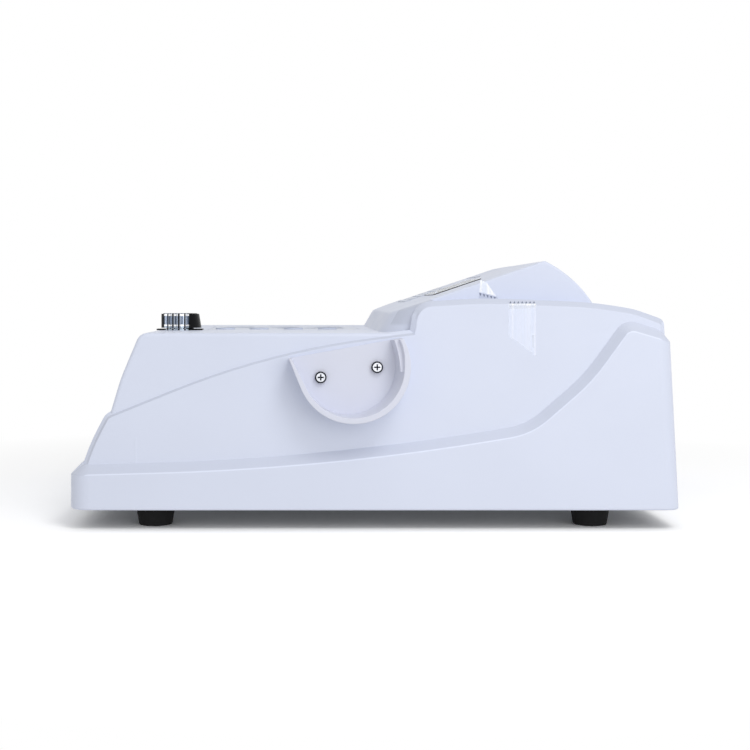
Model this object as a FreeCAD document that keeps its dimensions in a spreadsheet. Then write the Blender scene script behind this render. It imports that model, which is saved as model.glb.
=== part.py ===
import FreeCAD
import Part

import math
import os
import re

import Sketcher

# A bench coagulation analyzer. +Z is up, the front points to -X, and the origin lies under the middle
# of the whole object, on the surface that the feet stand on. All sizes are in millimetres and degrees.

Vector = FreeCAD.Vector

# Driving sizes. "from_front" and "from_rear" are distances along X from the housing's two ends.
SIZES = {
    # Whole housing
    "body_long": 415.5,
    "body_wide": 320.0,
    "shell_bottom": 13.5,
    "deck_top": 133.5,
    "shell_wall": 3.0,
    "fit_gap": 0.3,
    "pin_gap": 0.08,
    # Plinth layer with its slanted upper band
    "plinth_round": 14.0,
    "plinth_rear_round": 10.0,
    "plinth_rear_lean": 6.2,
    "plinth_foot_round": 1.5,
    "band_width": 7.0,
    "band_round": 1.4,
    "band_front_high": 44.2,
    "band_knee_from_front": 174.8,
    "band_knee_high": 48.9,
    "band_knee_round": 1700.0,
    "band_rise_from_rear": 104.5,
    "band_rise_high": 71.7,
    "band_rise_round": 45.0,
    "band_bend_from_rear": 65.8,
    "band_bend_high": 105.3,
    "band_bend_round": 120.0,
    "band_peak_from_rear": 37.9,
    "band_peak_high": 143.7,
    "band_peak_round": 13.0,
    "band_tail_high": 134.4,
    # Middle layer, which rises into the rear side walls
    "middle_inset": 6.6,
    "middle_foot_from_front": 8.4,
    "middle_heel_from_front": 8.6,
    "middle_heel_high": 43.7,
    "middle_brow_from_front": 13.6,
    "middle_brow_high": 58.3,
    "middle_brow_round": 140.0,
    "middle_bevel": 3.6,
    "middle_bevel_round": 0.8,
    "middle_foot_rise": 8.0,
    "crease_front_from_front": 24.2,
    "crease_front_drop": 55.1,
    "crease_front_round": 9.0,
    "crease_knee_from_front": 136.6,
    "crease_knee_drop": 9.8,
    "crease_knee_round": 540.0,
    "wing_foot_from_rear": 183.3,
    "wing_foot_rise": 2.0,
    "wing_lean": 3.0,
    "wing_front_round": 14.0,
    "wing_rise": 22.9,
    "wing_crown_from_rear": 132.8,
    "wing_crown_rise": 1.0,
    "wing_crown_round": 300.0,
    "wing_back_from_rear": 59.2,
    "wing_back_drop": 1.9,
    "wing_back_round": 250.0,
    "wing_bend_from_rear": 30.2,
    "wing_bend_drop": 6.5,
    "wing_bend_round": 60.0,
    "wing_tail_from_rear": 9.7,
    "wing_tail_drop": 13.9,
    "wing_tail_round": 5.5,
    "middle_rear_from_rear": 3.3,
    "wing_thick": 7.4,
    # Upper layer with the flat deck
    "upper_step": 1.4,
    "upper_foot_from_front": 16.0,
    "upper_brow_from_front": 34.3,
    "upper_brow_drop": 31.5,
    "upper_brow_round": 120.0,
    "deck_front_from_front": 47.5,
    "deck_front_round": 8.0,
    "upper_edge_round": 2.5,
    "upper_foot_down": 38.0,
    "upper_lap": 15.0,
    # Sloping console and its rounded back
    "apex_from_rear": 87.1,
    "apex_rise": 50.0,
    "slope_angle": 18.6,
    "nose_from_rear": 202.7,
    "nose_lean": 30.0,
    "nose_corner": 38.0,
    "nose_turn": 34.0,
    "nose_round": 4.0,
    "ramp_below_wing": 0.3,
    "ramp_lap": 0.2,
    "ramp_foot_down": 12.0,
    "ramp_gap_lead": 3.0,
    "ramp_gap_reach": 40.7,
    "ramp_gap_down": 8.0,
    "head_start_behind_nose": 32.0,
    "head_foot_rise": 8.0,
    "head_back_reach": 45.0,
    "head_half_wide": 128.0,
    "head_back_round": 82.5,
    "head_back_turn": 64.2,
    "head_edge_round": 1.6,
    "apex_round": 2.5,
    # Base plate, bosses and feet
    "base_lip": 1.0,
    "base_thick": 1.5,
    "base_gap": 0.5,
    "boss_inset": 4.4,
    "boss_radius": 4.5,
    "boss_tall": 46.0,
    "boss_rib_tall": 22.0,
    "boss_hole_deep": 23.0,
    "base_screw_long": 20.0,
    "base_head_radius": 2.8,
    "base_head_tall": 2.0,
    "boss_front_from_front": 45.0,
    "boss_rear_from_rear": 30.0,
    "screw_radius": 1.5,
    "foot_top_radius": 13.8,
    "foot_low_radius": 11.0,
    "foot_from_end": 56.5,
    "foot_from_side": 29.0,
    "foot_recess_radius": 4.6,
    "foot_recess_deep": 6.0,
    "vent_long": 46.0,
    "vent_wide": 3.0,
    "vent_pitch": 9.0,
    # Side rest for the pipette
    "rest_reach": 22.0,
    "rest_plate": 3.0,
    "rest_rim": 3.8,
    "rest_narrowing": 2.3,
    "rest_from_front": 192.8,
    "rest_drop": 22.1,
    "rest_radius": 38.1,
    "rest_left_reach": 41.6,
    "rest_top_tilt": 10.2,
    "rest_top_rise": 12.6,
    "rest_screw_spacing": 38.9,
    "rest_screw_shift": -2.6,
    "rest_screw_drop": 4.4,
    "rest_edge_round": 0.5,
    "rest_tip": 1.7,
    "rest_mouth_aside": 0.3,
    "rest_floor_aside": 3.2,
    "rest_floor_down": 0.9,
    "rest_rib_aside": 26.6,
    "rest_rib_up": 19.8,
    "rest_rib_long": 23.3,
    "rest_rib_bulge": 3.4,
    "rest_rib_lean": 4.8,
    "rest_rib_back": 3.5,
    "pan_head_radius": 3.95,
    "pan_head_tall": 2.6,
    "pan_shank_radius": 2.0,
    "cross_half_long": 2.1,
    "cross_half_wide": 0.5,
    "cross_deep": 1.4,
    "foot_head_radius": 3.8,
    "nut_radius": 4.0,
    "nut_tall": 3.2,
    # Well panel and the heated blocks
    "panel_thick": 2.5,
    "panel_screw_long": 8.0,
    "small_head_radius": 2.7,
    "small_head_tall": 1.4,
    "panel_from_front": 86.5,
    "panel_long": 115.5,
    "panel_near": 45.0,
    "panel_far": 75.0,
    "panel_round": 5.0,
    "panel_screw_inset": 6.0,
    "block_inset": 2.0,
    "block_tall": 37.5,
    "block_gap": 1.0,
    "measuring_row": 29.0,
    "measuring_deep": 25.0,
    "first_well_in": 13.0,
    "measuring_pitch": 26.2,
    "well_radius": 4.8,
    "light_bore_radius": 1.6,
    "light_bore_down": 18.0,
    "collar_radius": 7.4,
    "collar_tall": 1.2,
    "incubation_row": 3.0,
    "incubation_step": 22.0,
    "incubation_pitch": 22.0,
    "incubation_deep": 32.0,
    "reagent_row": 50.0,
    "reagent_pitch": 36.5,
    "reagent_first_in": 21.0,
    "reagent_radius": 12.2,
    "reagent_deep": 26.0,
    "mat_thick": 1.5,
    "carrier_thick": 3.0,
    "post_radius": 4.0,
    "post_inset": 5.0,
    "optic_board_thick": 1.6,
    "optic_lamp_long": 3.0,
    "probe_radius": 2.0,
    "probe_long": 22.0,
    "stirrer_disc_radius": 8.0,
    "stirrer_disc_thick": 3.0,
    "stirrer_motor_radius": 10.0,
    "stirrer_motor_tall": 16.0,
    # Dial
    "dial_from_front": 67.1,
    "dial_near": 56.0,
    "collar_seat_radius": 13.2,
    "collar_reach": 17.1,
    "collar_bar_wide": 14.0,
    "collar_thick": 1.0,
    "collar_ring_radius": 10.2,
    "collar_ring_tall": 1.4,
    "index_start": 303.0,
    "index_turn": 77.0,
    "index_radius_low": 16.0,
    "index_radius_top": 14.2,
    "knob_gap": 0.75,
    "knob_tall": 10.8,
    "knob_edge": 0.4,
    "knob_hollow_deep": 2.6,
    "knob_rim": 2.2,
    "knob_radius": 13.0,
    "knob_rib_out": 1.1,
    "knob_rib_wide": 2.9,
    "knob_ribs": 18,
    "dial_travel": 0.6,
    "shaft_radius": 3.0,
    "bush_radius": 4.2,
    "encoder_side": 15.0,
    "encoder_tall": 12.0,
    "plunger_radius": 5.2,
    "plunger_thick": 1.6,
    # Display
    "window_long": 38.0,
    "window_wide": 76.0,
    "window_thick": 1.8,
    "window_proud": 0.6,
    "window_below_apex": 75.0,
    "window_from_keypad": 2.7,
    "view_border": 4.0,
    "module_thick": 9.0,
    "module_side": 20.0,
    "display_board_thick": 1.6,
    "keypad_long": 40.0,
    "keypad_wide": 84.0,
    "keypad_thick": 0.6,
    "keypad_below_apex": 92.0,
    "key_side": 11.0,
    "key_rise": 0.5,
    # Printer
    "printer_from_head_side": 62.0,
    "lid_half_wide": 40.0,
    "lid_thick": 2.5,
    "lid_front_below_apex": 24.0,
    "lid_slit": 3.5,
    "lid_gap": 0.5,
    "hinge_from_rear": 55.5,
    "hinge_rise": 1.9,
    "hinge_barrel": 2.3,
    "hinge_pin": 1.2,
    "ear_wide": 8.0,
    "ear_inset": 1.0,
    "ear_foot": 3.0,
    "platen_radius": 4.5,
    "platen_half": 29.0,
    "platen_shaft": 1.5,
    "platen_behind_lid_edge": 4.6,
    "platen_down": 10.3,
    "platen_teeth": 12,
    "motor_teeth": 8,
    "gear_module": 1.0,
    "gear_thick": 3.0,
    "bucket_wall": 2.0,
    "bucket_front_from_rear": 119.8,
    "bucket_long": 59.0,
    "bucket_low": 120.0,
    "bucket_square_top": 142.0,
    "ledge_top": 151.0,
    "ledge_thick": 3.0,
    "ledge_lap": 1.5,
    "head_plate_thick": 2.0,
    "head_plate_rise": 3.5,
    "head_fin_thick": 2.5,
    "head_gap": 0.3,
    "roll_radius": 18.5,
    "roll_core": 6.5,
    "roll_from_rear": 86.0,
    "roll_high": 142.5,
    "spindle_radius": 3.0,
    "feed_motor_radius": 7.5,
    "feed_motor_long": 14.0,
    # Electronics
    "standoff_tall": 8.0,
    "standoff_radius": 2.8,
    "board_thick": 1.6,
    "board_from_rear": 190.0,
    "board_long": 140.0,
    "board_from_foot": 13.0,
    "board_wide": 104.0,
    "board_hole_inset": 5.0,
    "ribbon_wide": 26.0,
    "ribbon_from_window": 13.3,
    "ribbon_from_front": 46.0,
    "ribbon_thick": 0.9,
    "ribbon_socket_tall": 9.0,
    "supply_from_rear": 165.0,
    "supply_long": 104.0,
    "supply_far": 22.0,
    "supply_wide": 62.0,
    # Rear panel with its sockets
    "rear_frame_from_rear": 13.8,
    "rear_frame_border": 8.0,
    "rear_window_half": 92.0,
    "rear_window_low": 30.0,
    "rear_window_high": 98.0,
    "rear_panel_thick": 2.0,
    "inlet_from_window": 30.0,
    "inlet_low": 38.0,
    "inlet_wide": 28.0,
    "inlet_tall": 48.0,
    "inlet_flange": 2.0,
    "inlet_deep": 26.0,
    "socket_wide": 24.4,
    "socket_tall": 16.4,
    "socket_deep": 17.0,
    "blade_long": 14.0,
    "drawer_tall": 7.0,
    "drawer_wide": 20.0,
    "drawer_deep": 20.0,
    "rocker_wide": 18.0,
    "rocker_tall": 13.0,
    "rocker_tilt": 8.0,
    "serial_from_window": 30.0,
    "serial_wide": 31.0,
    "serial_tall": 12.5,
    "serial_cut_wide": 20.0,
    "serial_cut_tall": 11.0,
    "serial_shell_wide": 17.0,
    "serial_shell_tall": 9.0,
    "serial_shell_out": 6.0,
    "serial_shell_in": 9.0,
    "data_near": 14.0,
    "data_side": 12.0,
    "port_high": 52.0,
}

# Places that follow from the sizes
PLACES = {
    "front_x": "-body_long/2",
    "rear_x": "body_long/2",
    "mid_y": "(rest_reach-middle_inset)/2",
    "near_y": "mid_y-body_wide/2",
    "far_y": "mid_y+body_wide/2",
    "upper_half": "body_wide/2-middle_inset-upper_step",
    "upper_foot_z": "deck_top-crease_front_drop-upper_foot_down",
    "upper_end_x": "rear_x-wing_crown_from_rear-upper_lap",
    "middle_foot_z": "shell_bottom+middle_foot_rise",
    "nose_x": "rear_x-nose_from_rear",
    "middle_half": "body_wide/2-middle_inset",
    "inner_half": "middle_half-wing_thick",
    "side_y": "mid_y-middle_half",
    "deck_under": "deck_top-shell_wall",
    "base_low": "shell_bottom+base_lip",
    "base_top": "base_low+base_thick",
    "apex_x": "rear_x-apex_from_rear",
    "apex_z": "deck_top+apex_rise",
    "wing_top": "deck_top+wing_rise",
    "block_top": "deck_top-panel_thick",
    "block_low": "block_top-block_tall",
    "mat_low": "block_low-mat_thick",
    "carrier_low": "mat_low-carrier_thick",
    "panel_x": "front_x+panel_from_front",
    "panel_end": "panel_x+panel_long",
    "block_x": "panel_x+block_inset",
    "block_end": "panel_end-block_inset",
    "measuring_near": "mid_y-panel_near+block_inset",
    "measuring_far": "mid_y-measuring_row+measuring_half",
    "measuring_half": "panel_near-block_inset-measuring_row",
    "incubation_near": "measuring_far+block_gap",
    "incubation_far": "mid_y-incubation_row+incubation_step+well_radius+6",
    "reagent_near": "incubation_far+block_gap",
    "reagent_far": "mid_y+panel_far-block_inset",
    "dial_x": "front_x+dial_from_front",
    "dial_y": "mid_y-dial_near",
    "knob_low": "deck_top+collar_thick+knob_gap",
    "rest_x": "front_x+rest_from_front",
    "rest_z": "deck_top-rest_drop",
    "hinge_x": "rear_x-hinge_from_rear",
    "hinge_z": "wing_top-wing_back_drop+hinge_rise",
    "lid_edge_x": "apex_x-lid_front_below_apex",
    "printer_y": "mid_y+head_half_wide-printer_from_head_side",
    "window_y": "printer_y-keypad_wide/2-window_from_keypad-window_wide/2",
    "bucket_x": "rear_x-bucket_front_from_rear",
    "roll_x": "rear_x-roll_from_rear",
    "panel_face_x": "rear_x-rear_frame_from_rear",
    "inlet_y": "mid_y+rear_window_half-inlet_from_window",
    "serial_y": "mid_y-rear_window_half+serial_from_window",
    "data_y": "mid_y-data_near",
    "board_low": "base_top+standoff_tall",
    "board_x": "rear_x-board_from_rear",
    "board_y": "near_y+foot_from_side+board_from_foot",
    "supply_x": "rear_x-supply_from_rear",
    "supply_y": "mid_y+supply_far",
    "probe_y": "mid_y-incubation_row+incubation_step/2",
    "probe_z": "block_top-14",
    "console_stack": "shell_wall+module_thick+display_board_thick",
    "ribbon_x": "board_x+ribbon_from_front+2",
    "ribbon_y": "window_y-window_wide/2-ribbon_from_window",
    "ribbon_top": "apex_z-(apex_x-ribbon_x)*tan(slope_angle)-console_stack/cos(slope_angle)",
}

WORD = re.compile(r"[a-z_]+")

doc = FreeCAD.newDocument("CoagulationAnalyzer")
sheet = doc.addObject("Spreadsheet::Sheet", "Sizes")
sub_parts = []


def fill_sheet():
    """Writes each driving size into the sheet under its own name."""
    for row, (name, number) in enumerate(SIZES.items(), start=1):
        sheet.set(f"A{row}", name)
        sheet.set(f"B{row}", str(number))
        sheet.setAlias(f"B{row}", name)
    doc.recompute()


def in_sheet(text):
    """Turns a formula of size and place names into one of sheet cells."""

    def swap(match):
        word = match.group(0)
        if word in PLACES:
            return "(" + in_sheet(PLACES[word]) + ")"
        if word in SIZES:
            return "Sizes." + word
        return word

    return WORD.sub(swap, text)


def value(text):
    return float(sheet.evalExpression(in_sheet(text)))


def bind(item, prop, text):
    item.setExpression(prop, in_sheet(text))


def put(item, x, y, z):
    bind(item, "Placement.Base.x", x)
    bind(item, "Placement.Base.y", y)
    bind(item, "Placement.Base.z", z)


def keep(item, label):
    """Names a sub-part and notes it for writing out."""
    item.Label = label
    sub_parts.append(item)
    return item


# Primitives and booleans


def box(name, x, y, z):
    """A box between a low and a high formula on each axis."""
    item = doc.addObject("Part::Box", name)
    for prop, span in (("Length", x), ("Width", y), ("Height", z)):
        bind(item, prop, f"({span[1]})-({span[0]})")
    put(item, x[0], y[0], z[0])
    return item


AXIS_TURN = {
    "x": FreeCAD.Rotation(Vector(0, 1, 0), 90),
    "y": FreeCAD.Rotation(Vector(1, 0, 0), -90),
    "z": FreeCAD.Rotation(),
}


def rod(name, axis, radius, span, centre):
    """A cylinder along one axis; centre gives the other two coordinates in the order x, y, z."""
    item = doc.addObject("Part::Cylinder", name)
    bind(item, "Radius", radius)
    bind(item, "Height", f"({span[1]})-({span[0]})")
    item.Placement = FreeCAD.Placement(Vector(), AXIS_TURN[axis])
    if axis == "x":
        put(item, span[0], centre[0], centre[1])
    elif axis == "y":
        put(item, centre[0], span[0], centre[1])
    else:
        put(item, centre[0], centre[1], span[0])
    return item


def hexagon(name, radius, span, x, y):
    """An upright hexagonal prism."""
    item = doc.addObject("Part::Prism", name)
    item.Polygon = 6
    bind(item, "Circumradius", radius)
    bind(item, "Height", f"({span[1]})-({span[0]})")
    put(item, x, y, span[0])
    return item


def slope_box(name, along, across, depth):
    """A box on the console's slope: along runs up the slope from the apex, depth along its outward normal."""
    item = doc.addObject("Part::Box", name)
    for prop, span in (("Length", along), ("Width", across), ("Height", depth)):
        bind(item, prop, f"({span[1]})-({span[0]})")
    item.Placement = FreeCAD.Placement(Vector(), FreeCAD.Rotation(Vector(0, 1, 0), -1))
    bind(item, "Placement.Rotation.Angle", "-slope_angle")
    u = along[0]
    w = depth[0]
    put(
        item,
        f"apex_x+({u})*cos(slope_angle)-({w})*sin(slope_angle)",
        across[0],
        f"apex_z+({u})*sin(slope_angle)+({w})*cos(slope_angle)",
    )
    return item


def group(name, items):
    item = doc.addObject("Part::Compound", name)
    item.Links = items
    return item


def fuse(name, items):
    item = doc.addObject("Part::MultiFuse", name)
    item.Shapes = items
    item.Refine = True
    return item


def cut(name, base, tools):
    item = doc.addObject("Part::Cut", name)
    item.Base = base
    item.Tool = tools[0] if len(tools) == 1 else group(name + "_tools", tools)
    return item


def screw(name, axis, towards, radius, head_radius, head_tall, seat, long, centre):
    """A headed screw. The head stands on the seat and the shank goes towards +1 or -1 along the axis."""
    if towards > 0:
        head = (f"{seat}-({head_tall})", seat)
        shank = (seat, f"{seat}+({long})")
    else:
        head = (seat, f"{seat}+({head_tall})")
        shank = (f"{seat}-({long})", seat)
    return fuse(
        name,
        [
            rod(name + "_head", axis, head_radius, head, centre),
            rod(name + "_shank", axis, radius, shank, centre),
        ],
    )


# Bodies made of sketches and features


def origin_plane(body, role):
    for feature in body.Origin.OriginFeatures:
        if feature.Role == role:
            return feature
    raise ValueError("no plane named " + role)


def new_sketch(body, name, role):
    sketch = body.newObject("Sketcher::SketchObject", name)
    sketch.AttachmentSupport = [(origin_plane(body, role), "")]
    sketch.MapMode = "FlatFace"
    return sketch


def tie(sketch, kind, item, point, text):
    """Holds one coordinate of a sketch point at a formula."""
    index = sketch.addConstraint(Sketcher.Constraint(kind, -1, 1, item, point, value(text)))
    sketch.setExpression(f"Constraints[{index}]", in_sheet(text))


def outline(body, name, role, points):
    """A closed sketch of straight lines between points given as two formulas each."""
    sketch = new_sketch(body, name, role)
    spots = [Vector(value(p[0]), value(p[1]), 0) for p in points]
    count = len(spots)
    for i in range(count):
        sketch.addGeometry(Part.LineSegment(spots[i], spots[(i + 1) % count]))
    for i in range(count):
        sketch.addConstraint(Sketcher.Constraint("Coincident", i, 2, (i + 1) % count, 1))
    for i in range(count):
        tie(sketch, "DistanceX", i, 1, points[i][0])
        tie(sketch, "DistanceY", i, 1, points[i][1])
    return sketch


def circles(body, name, role, rounds):
    """A sketch of circles, each given by two centre formulas and a radius formula."""
    sketch = new_sketch(body, name, role)
    for i, (x, y, radius) in enumerate(rounds):
        centre = Vector(value(x), value(y), 0)
        sketch.addGeometry(Part.Circle(centre, Vector(0, 0, 1), value(radius)))
        tie(sketch, "DistanceX", i, 3, x)
        tie(sketch, "DistanceY", i, 3, y)
        index = sketch.addConstraint(Sketcher.Constraint("Radius", i, value(radius)))
        sketch.setExpression(f"Constraints[{index}]", in_sheet(radius))
    return sketch


def pad(body, name, sketch, long, reverse=False):
    item = body.newObject("PartDesign::Pad", name)
    item.Profile = sketch
    bind(item, "Length", long)
    item.Reversed = reverse
    return item


def pocket(body, name, sketch, deep, reverse=False):
    item = body.newObject("PartDesign::Pocket", name)
    item.Profile = sketch
    bind(item, "Length", deep)
    item.Reversed = reverse
    return item


def turn(body, name, sketch):
    """Turns a profile of radius and height about the body's own Z axis."""
    item = body.newObject("PartDesign::Revolution", name)
    item.Profile = sketch
    item.ReferenceAxis = (sketch, ["V_Axis"])
    item.Angle = 360
    return item


def turned(name, points, x, y, z):
    """A turned piece from its half profile, set upright at a place."""
    body = doc.addObject("PartDesign::Body", name)
    turn(body, name + "_turn", outline(body, name + "_profile", "XZ_Plane", points))
    put(body, x, y, z)
    return body


def check_removed(before, after, what):
    """A cut that misses its solid shows no error, so its volume is compared."""
    if not after.Volume < before.Volume - 0.01:
        raise ValueError("nothing was removed by " + what)


# The housing's side outlines


def rounded_wire(points):
    """A closed wire in the XZ plane through corners (x, z, radius), each rounded by a tangent arc."""
    count = len(points)
    spots = [Vector(p[0], 0, p[1]) for p in points]
    tangents = []
    for i, spot in enumerate(spots):
        back = (spots[i - 1] - spot).normalize()
        ahead = (spots[(i + 1) % count] - spot).normalize()
        half = back.getAngle(ahead) / 2
        tangents.append(points[i][2] / math.tan(half) if half < 1.5706 else 0.0)
    for i in range(count):
        j = (i + 1) % count
        room = spots[i].distanceToPoint(spots[j]) * 0.995
        wanted = tangents[i] + tangents[j]
        if wanted > room:
            tangents[i] *= room / wanted
            tangents[j] *= room / wanted
    edges = []
    ends = []
    for i, spot in enumerate(spots):
        back = (spots[i - 1] - spot).normalize()
        ahead = (spots[(i + 1) % count] - spot).normalize()
        first = spot + back * tangents[i]
        last = spot + ahead * tangents[i]
        ends.append((first, last))
        if tangents[i] > 0.001:
            half = back.getAngle(ahead) / 2
            radius = tangents[i] * math.tan(half)
            inward = (back + ahead).normalize()
            middle = spot + inward * (radius / math.sin(half) - radius)
            edges.append(Part.Arc(first, middle, last).toShape())
        else:
            edges.append(None)
    path = []
    for i in range(count):
        if edges[i]:
            path.append(edges[i])
        start = ends[i][1]
        end = ends[(i + 1) % count][0]
        if start.distanceToPoint(end) > 0.001:
            path.append(Part.LineSegment(start, end).toShape())
    return Part.Wire(path)


def prism(wire, half_wide):
    """A side outline carried across the housing, half_wide to each side of its middle."""
    middle = value("mid_y")
    solid = Part.Face(wire).extrude(Vector(0, 2 * half_wide, 0))
    solid.translate(Vector(0, middle - half_wide, 0))
    return solid


def block(x, y, z):
    """A plain box between two numbers on each axis."""
    return Part.makeBox(x[1] - x[0], y[1] - y[0], z[1] - z[0], Vector(x[0], y[0], z[0]))


def spots(texts):
    """Turns outline corners written as formulas into numbers."""
    return [(value(x), value(z), value(radius)) for x, z, radius in texts]


def plinth_wire():
    return rounded_wire(
        spots(
            [
                ("front_x", "shell_bottom", "0"),
                ("front_x", "band_front_high", "0"),
                ("front_x+band_knee_from_front", "band_knee_high", "band_knee_round"),
                ("rear_x-band_rise_from_rear", "band_rise_high", "band_rise_round"),
                ("rear_x-band_bend_from_rear", "band_bend_high", "band_bend_round"),
                ("rear_x-band_peak_from_rear", "band_peak_high", "band_peak_round"),
                ("rear_x-plinth_rear_lean", "band_tail_high", "0"),
                ("rear_x", "shell_bottom", "0"),
            ]
        )
    )


def middle_wire():
    return rounded_wire(
        spots(
            [
                ("front_x+middle_foot_from_front", "middle_foot_z", "0"),
                ("front_x+middle_heel_from_front", "middle_heel_high", "0"),
                ("front_x+middle_brow_from_front", "middle_brow_high", "middle_brow_round"),
                (
                    "front_x+crease_front_from_front",
                    "deck_top-crease_front_drop",
                    "crease_front_round",
                ),
                ("front_x+crease_knee_from_front", "deck_top-crease_knee_drop", "crease_knee_round"),
                ("rear_x-wing_foot_from_rear", "deck_top+wing_foot_rise", "0"),
                (
                    "rear_x-wing_foot_from_rear+wing_lean",
                    "wing_top-wing_back_drop",
                    "wing_front_round",
                ),
                ("rear_x-wing_crown_from_rear", "wing_top+wing_crown_rise", "wing_crown_round"),
                ("rear_x-wing_back_from_rear", "wing_top-wing_back_drop", "wing_back_round"),
                ("rear_x-wing_bend_from_rear", "wing_top-wing_bend_drop", "wing_bend_round"),
                ("rear_x-wing_tail_from_rear", "wing_top-wing_tail_drop", "wing_tail_round"),
                ("rear_x-middle_rear_from_rear", "middle_foot_z", "0"),
            ]
        )
    )


def upper_wire():
    return rounded_wire(
        spots(
            [
                ("front_x+upper_foot_from_front", "upper_foot_z", "0"),
                ("front_x+upper_brow_from_front", "deck_top-upper_brow_drop", "upper_brow_round"),
                ("front_x+deck_front_from_front", "deck_top", "deck_front_round"),
                ("upper_end_x", "deck_top", "0"),
                ("upper_end_x", "upper_foot_z", "0"),
            ]
        )
    )


def slope_high(x):
    """The height of the console's slope over a place along X."""
    rise = math.tan(math.radians(value("slope_angle")))
    return value("apex_z") - (value("apex_x") - x) * rise


def ramp_wire(inset):
    """The slope up to the top of the side walls, its front end open for the nose's front wall."""
    start_x = value("nose_x-nose_corner")
    high = value("wing_top-ramp_below_wing")
    rise = math.tan(math.radians(value("slope_angle")))
    top_x = start_x + (high - slope_high(start_x)) / rise
    end_x = value("upper_end_x")
    low = value("deck_top-ramp_foot_down")
    wire = rounded_wire(
        [
            (start_x, low, 0),
            (start_x, slope_high(start_x), 0),
            (top_x, high, 0),
            (end_x, high, 0),
            (end_x, low, 0),
        ]
    )
    return wire.makeOffset2D(-inset) if inset > 0 else wire


def nose_plan(inset, half):
    """The nose from above: a straight front that turns round to meet the side walls."""
    corner = value("nose_corner") - inset
    turn = value("nose_turn") - inset
    front = value("nose_x") + inset
    end = value("upper_end_x+nose_corner")
    middle = value("mid_y")
    whole_turn = math.asin(turn / corner)

    def bend(side, angle):
        """A place on the round corner of one side, by its turn from the front."""
        x = front + corner * (1 - math.cos(angle))
        return Vector(x, middle + side * (half - turn + corner * math.sin(angle)), 0)

    def corner_arc(side, first, last):
        places = [bend(side, angle) for angle in (first, whole_turn / 2, last)]
        return Part.Arc(*places).toShape()

    def line(first, last):
        return Part.LineSegment(first, last).toShape()

    near_back = Vector(end, middle - half, 0)
    far_back = Vector(end, middle + half, 0)
    edges = [
        line(bend(-1, 0), bend(1, 0)),
        corner_arc(1, 0, whole_turn),
        line(bend(1, whole_turn), far_back),
        line(far_back, near_back),
        line(near_back, bend(-1, whole_turn)),
        corner_arc(-1, whole_turn, 0),
    ]
    return Part.Wire(edges)


def ramp_block(inset):
    """The ramp between the side walls, moved inwards by inset, behind its leaning front wall."""
    half = value("inner_half") + (-inset if inset > 0 else value("ramp_lap"))
    low = value("deck_top-ramp_foot_down")
    tall = value("apex_z") - low
    lean = math.tan(math.radians(value("nose_lean")))
    plan = Part.Face(nose_plan(inset, half))
    plan.translate(Vector((low - value("deck_top")) * lean, 0, low))
    front = plan.extrude(Vector(tall * lean, 0, tall))
    solid = prism(ramp_wire(inset), half).common(front)
    if inset > 0:
        return solid
    brow = edges_between(solid, looks_up, is_leaning)
    return solid.makeFillet(value("nose_round"), brow)


def head_centre():
    """The axis of the head's round back, as its x and z."""
    turn_angle = math.radians(value("head_back_turn"))
    radius = value("head_back_round")
    x = value("apex_x") - radius * math.cos(turn_angle)
    z = value("apex_z") - radius * math.sin(turn_angle)
    return x, z


def head_block(inset, half_wide, edge_round=0.0):
    """The wedge of the console, all its faces moved inwards by inset."""
    centre_x, centre_z = head_centre()
    radius = value("head_back_round") - inset
    slope = math.radians(value("slope_angle"))
    start_x = value("nose_x+head_start_behind_nose")
    end_x = value("apex_x+head_back_reach")
    drop = inset / math.cos(slope)
    low = value("deck_top+head_foot_rise")
    corners = [
        (start_x, low, 0),
        (start_x, slope_high(start_x) - drop, 0),
        (end_x, slope_high(end_x) - drop, 0),
        (end_x, low, 0),
    ]
    wedge = prism(rounded_wire(corners), half_wide)
    span = 2 * half_wide + 2
    middle = value("mid_y")
    drum = Part.makeCylinder(
        radius, span, Vector(centre_x, middle - span / 2, centre_z), Vector(0, 1, 0)
    )
    solid = wedge.common(drum)
    if edge_round > 0:
        ridge = [e for e in solid.Edges if is_ridge(e)]
        solid = solid.makeFillet(value("apex_round"), ridge)
        rims = [e for e in solid.Edges if is_rim(e, half_wide, low)]
        solid = solid.makeFillet(edge_round, rims)
    return solid


def is_ridge(edge):
    """True for the line where the slope meets the round back."""
    apex = Vector(value("apex_x"), 0, value("apex_z"))
    middle = edge.CenterOfMass
    near = math.hypot(middle.x - apex.x, middle.z - apex.z) < 6
    return near and abs(middle.y - value("mid_y")) < 1


def is_rim(edge, half_wide, low):
    """True for the upper edges of the head's two side faces."""
    across = abs(abs(edge.CenterOfMass.y - value("mid_y")) - half_wide) < 0.01
    box_of = edge.BoundBox
    return across and box_of.ZMin > low + 0.5


def face_slant(face):
    """How far a face looks up, from -1 to 1, at its middle."""
    u0, u1, v0, v1 = face.ParameterRange
    return face.normalAt((u0 + u1) / 2, (v0 + v1) / 2).z


def edges_between(solid, first, second):
    """Edges between a face that the first test takes and one that the second takes."""
    found = []
    for edge in solid.Edges:
        faces = solid.ancestorsOfType(edge, Part.Face)
        if len(faces) != 2:
            continue
        slants = [face_slant(face) for face in faces]
        if first(slants[0]) and second(slants[1]) or first(slants[1]) and second(slants[0]):
            found.append(edge)
    return found


def is_upright(slant):
    return abs(slant) < 0.12


def is_leaning(slant):
    return 0.12 < slant < 0.7


def looks_up(slant):
    return slant > 0.5


def looks_down(slant):
    return slant < -0.9


def is_slanted(slant):
    return 0.3 < slant < 0.9


def same_line(first, second):
    """True for two edges with the same middle and the same length."""
    apart = first.CenterOfMass.distanceToPoint(second.CenterOfMass)
    return apart < 0.01 and abs(first.Length - second.Length) < 0.01


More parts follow.
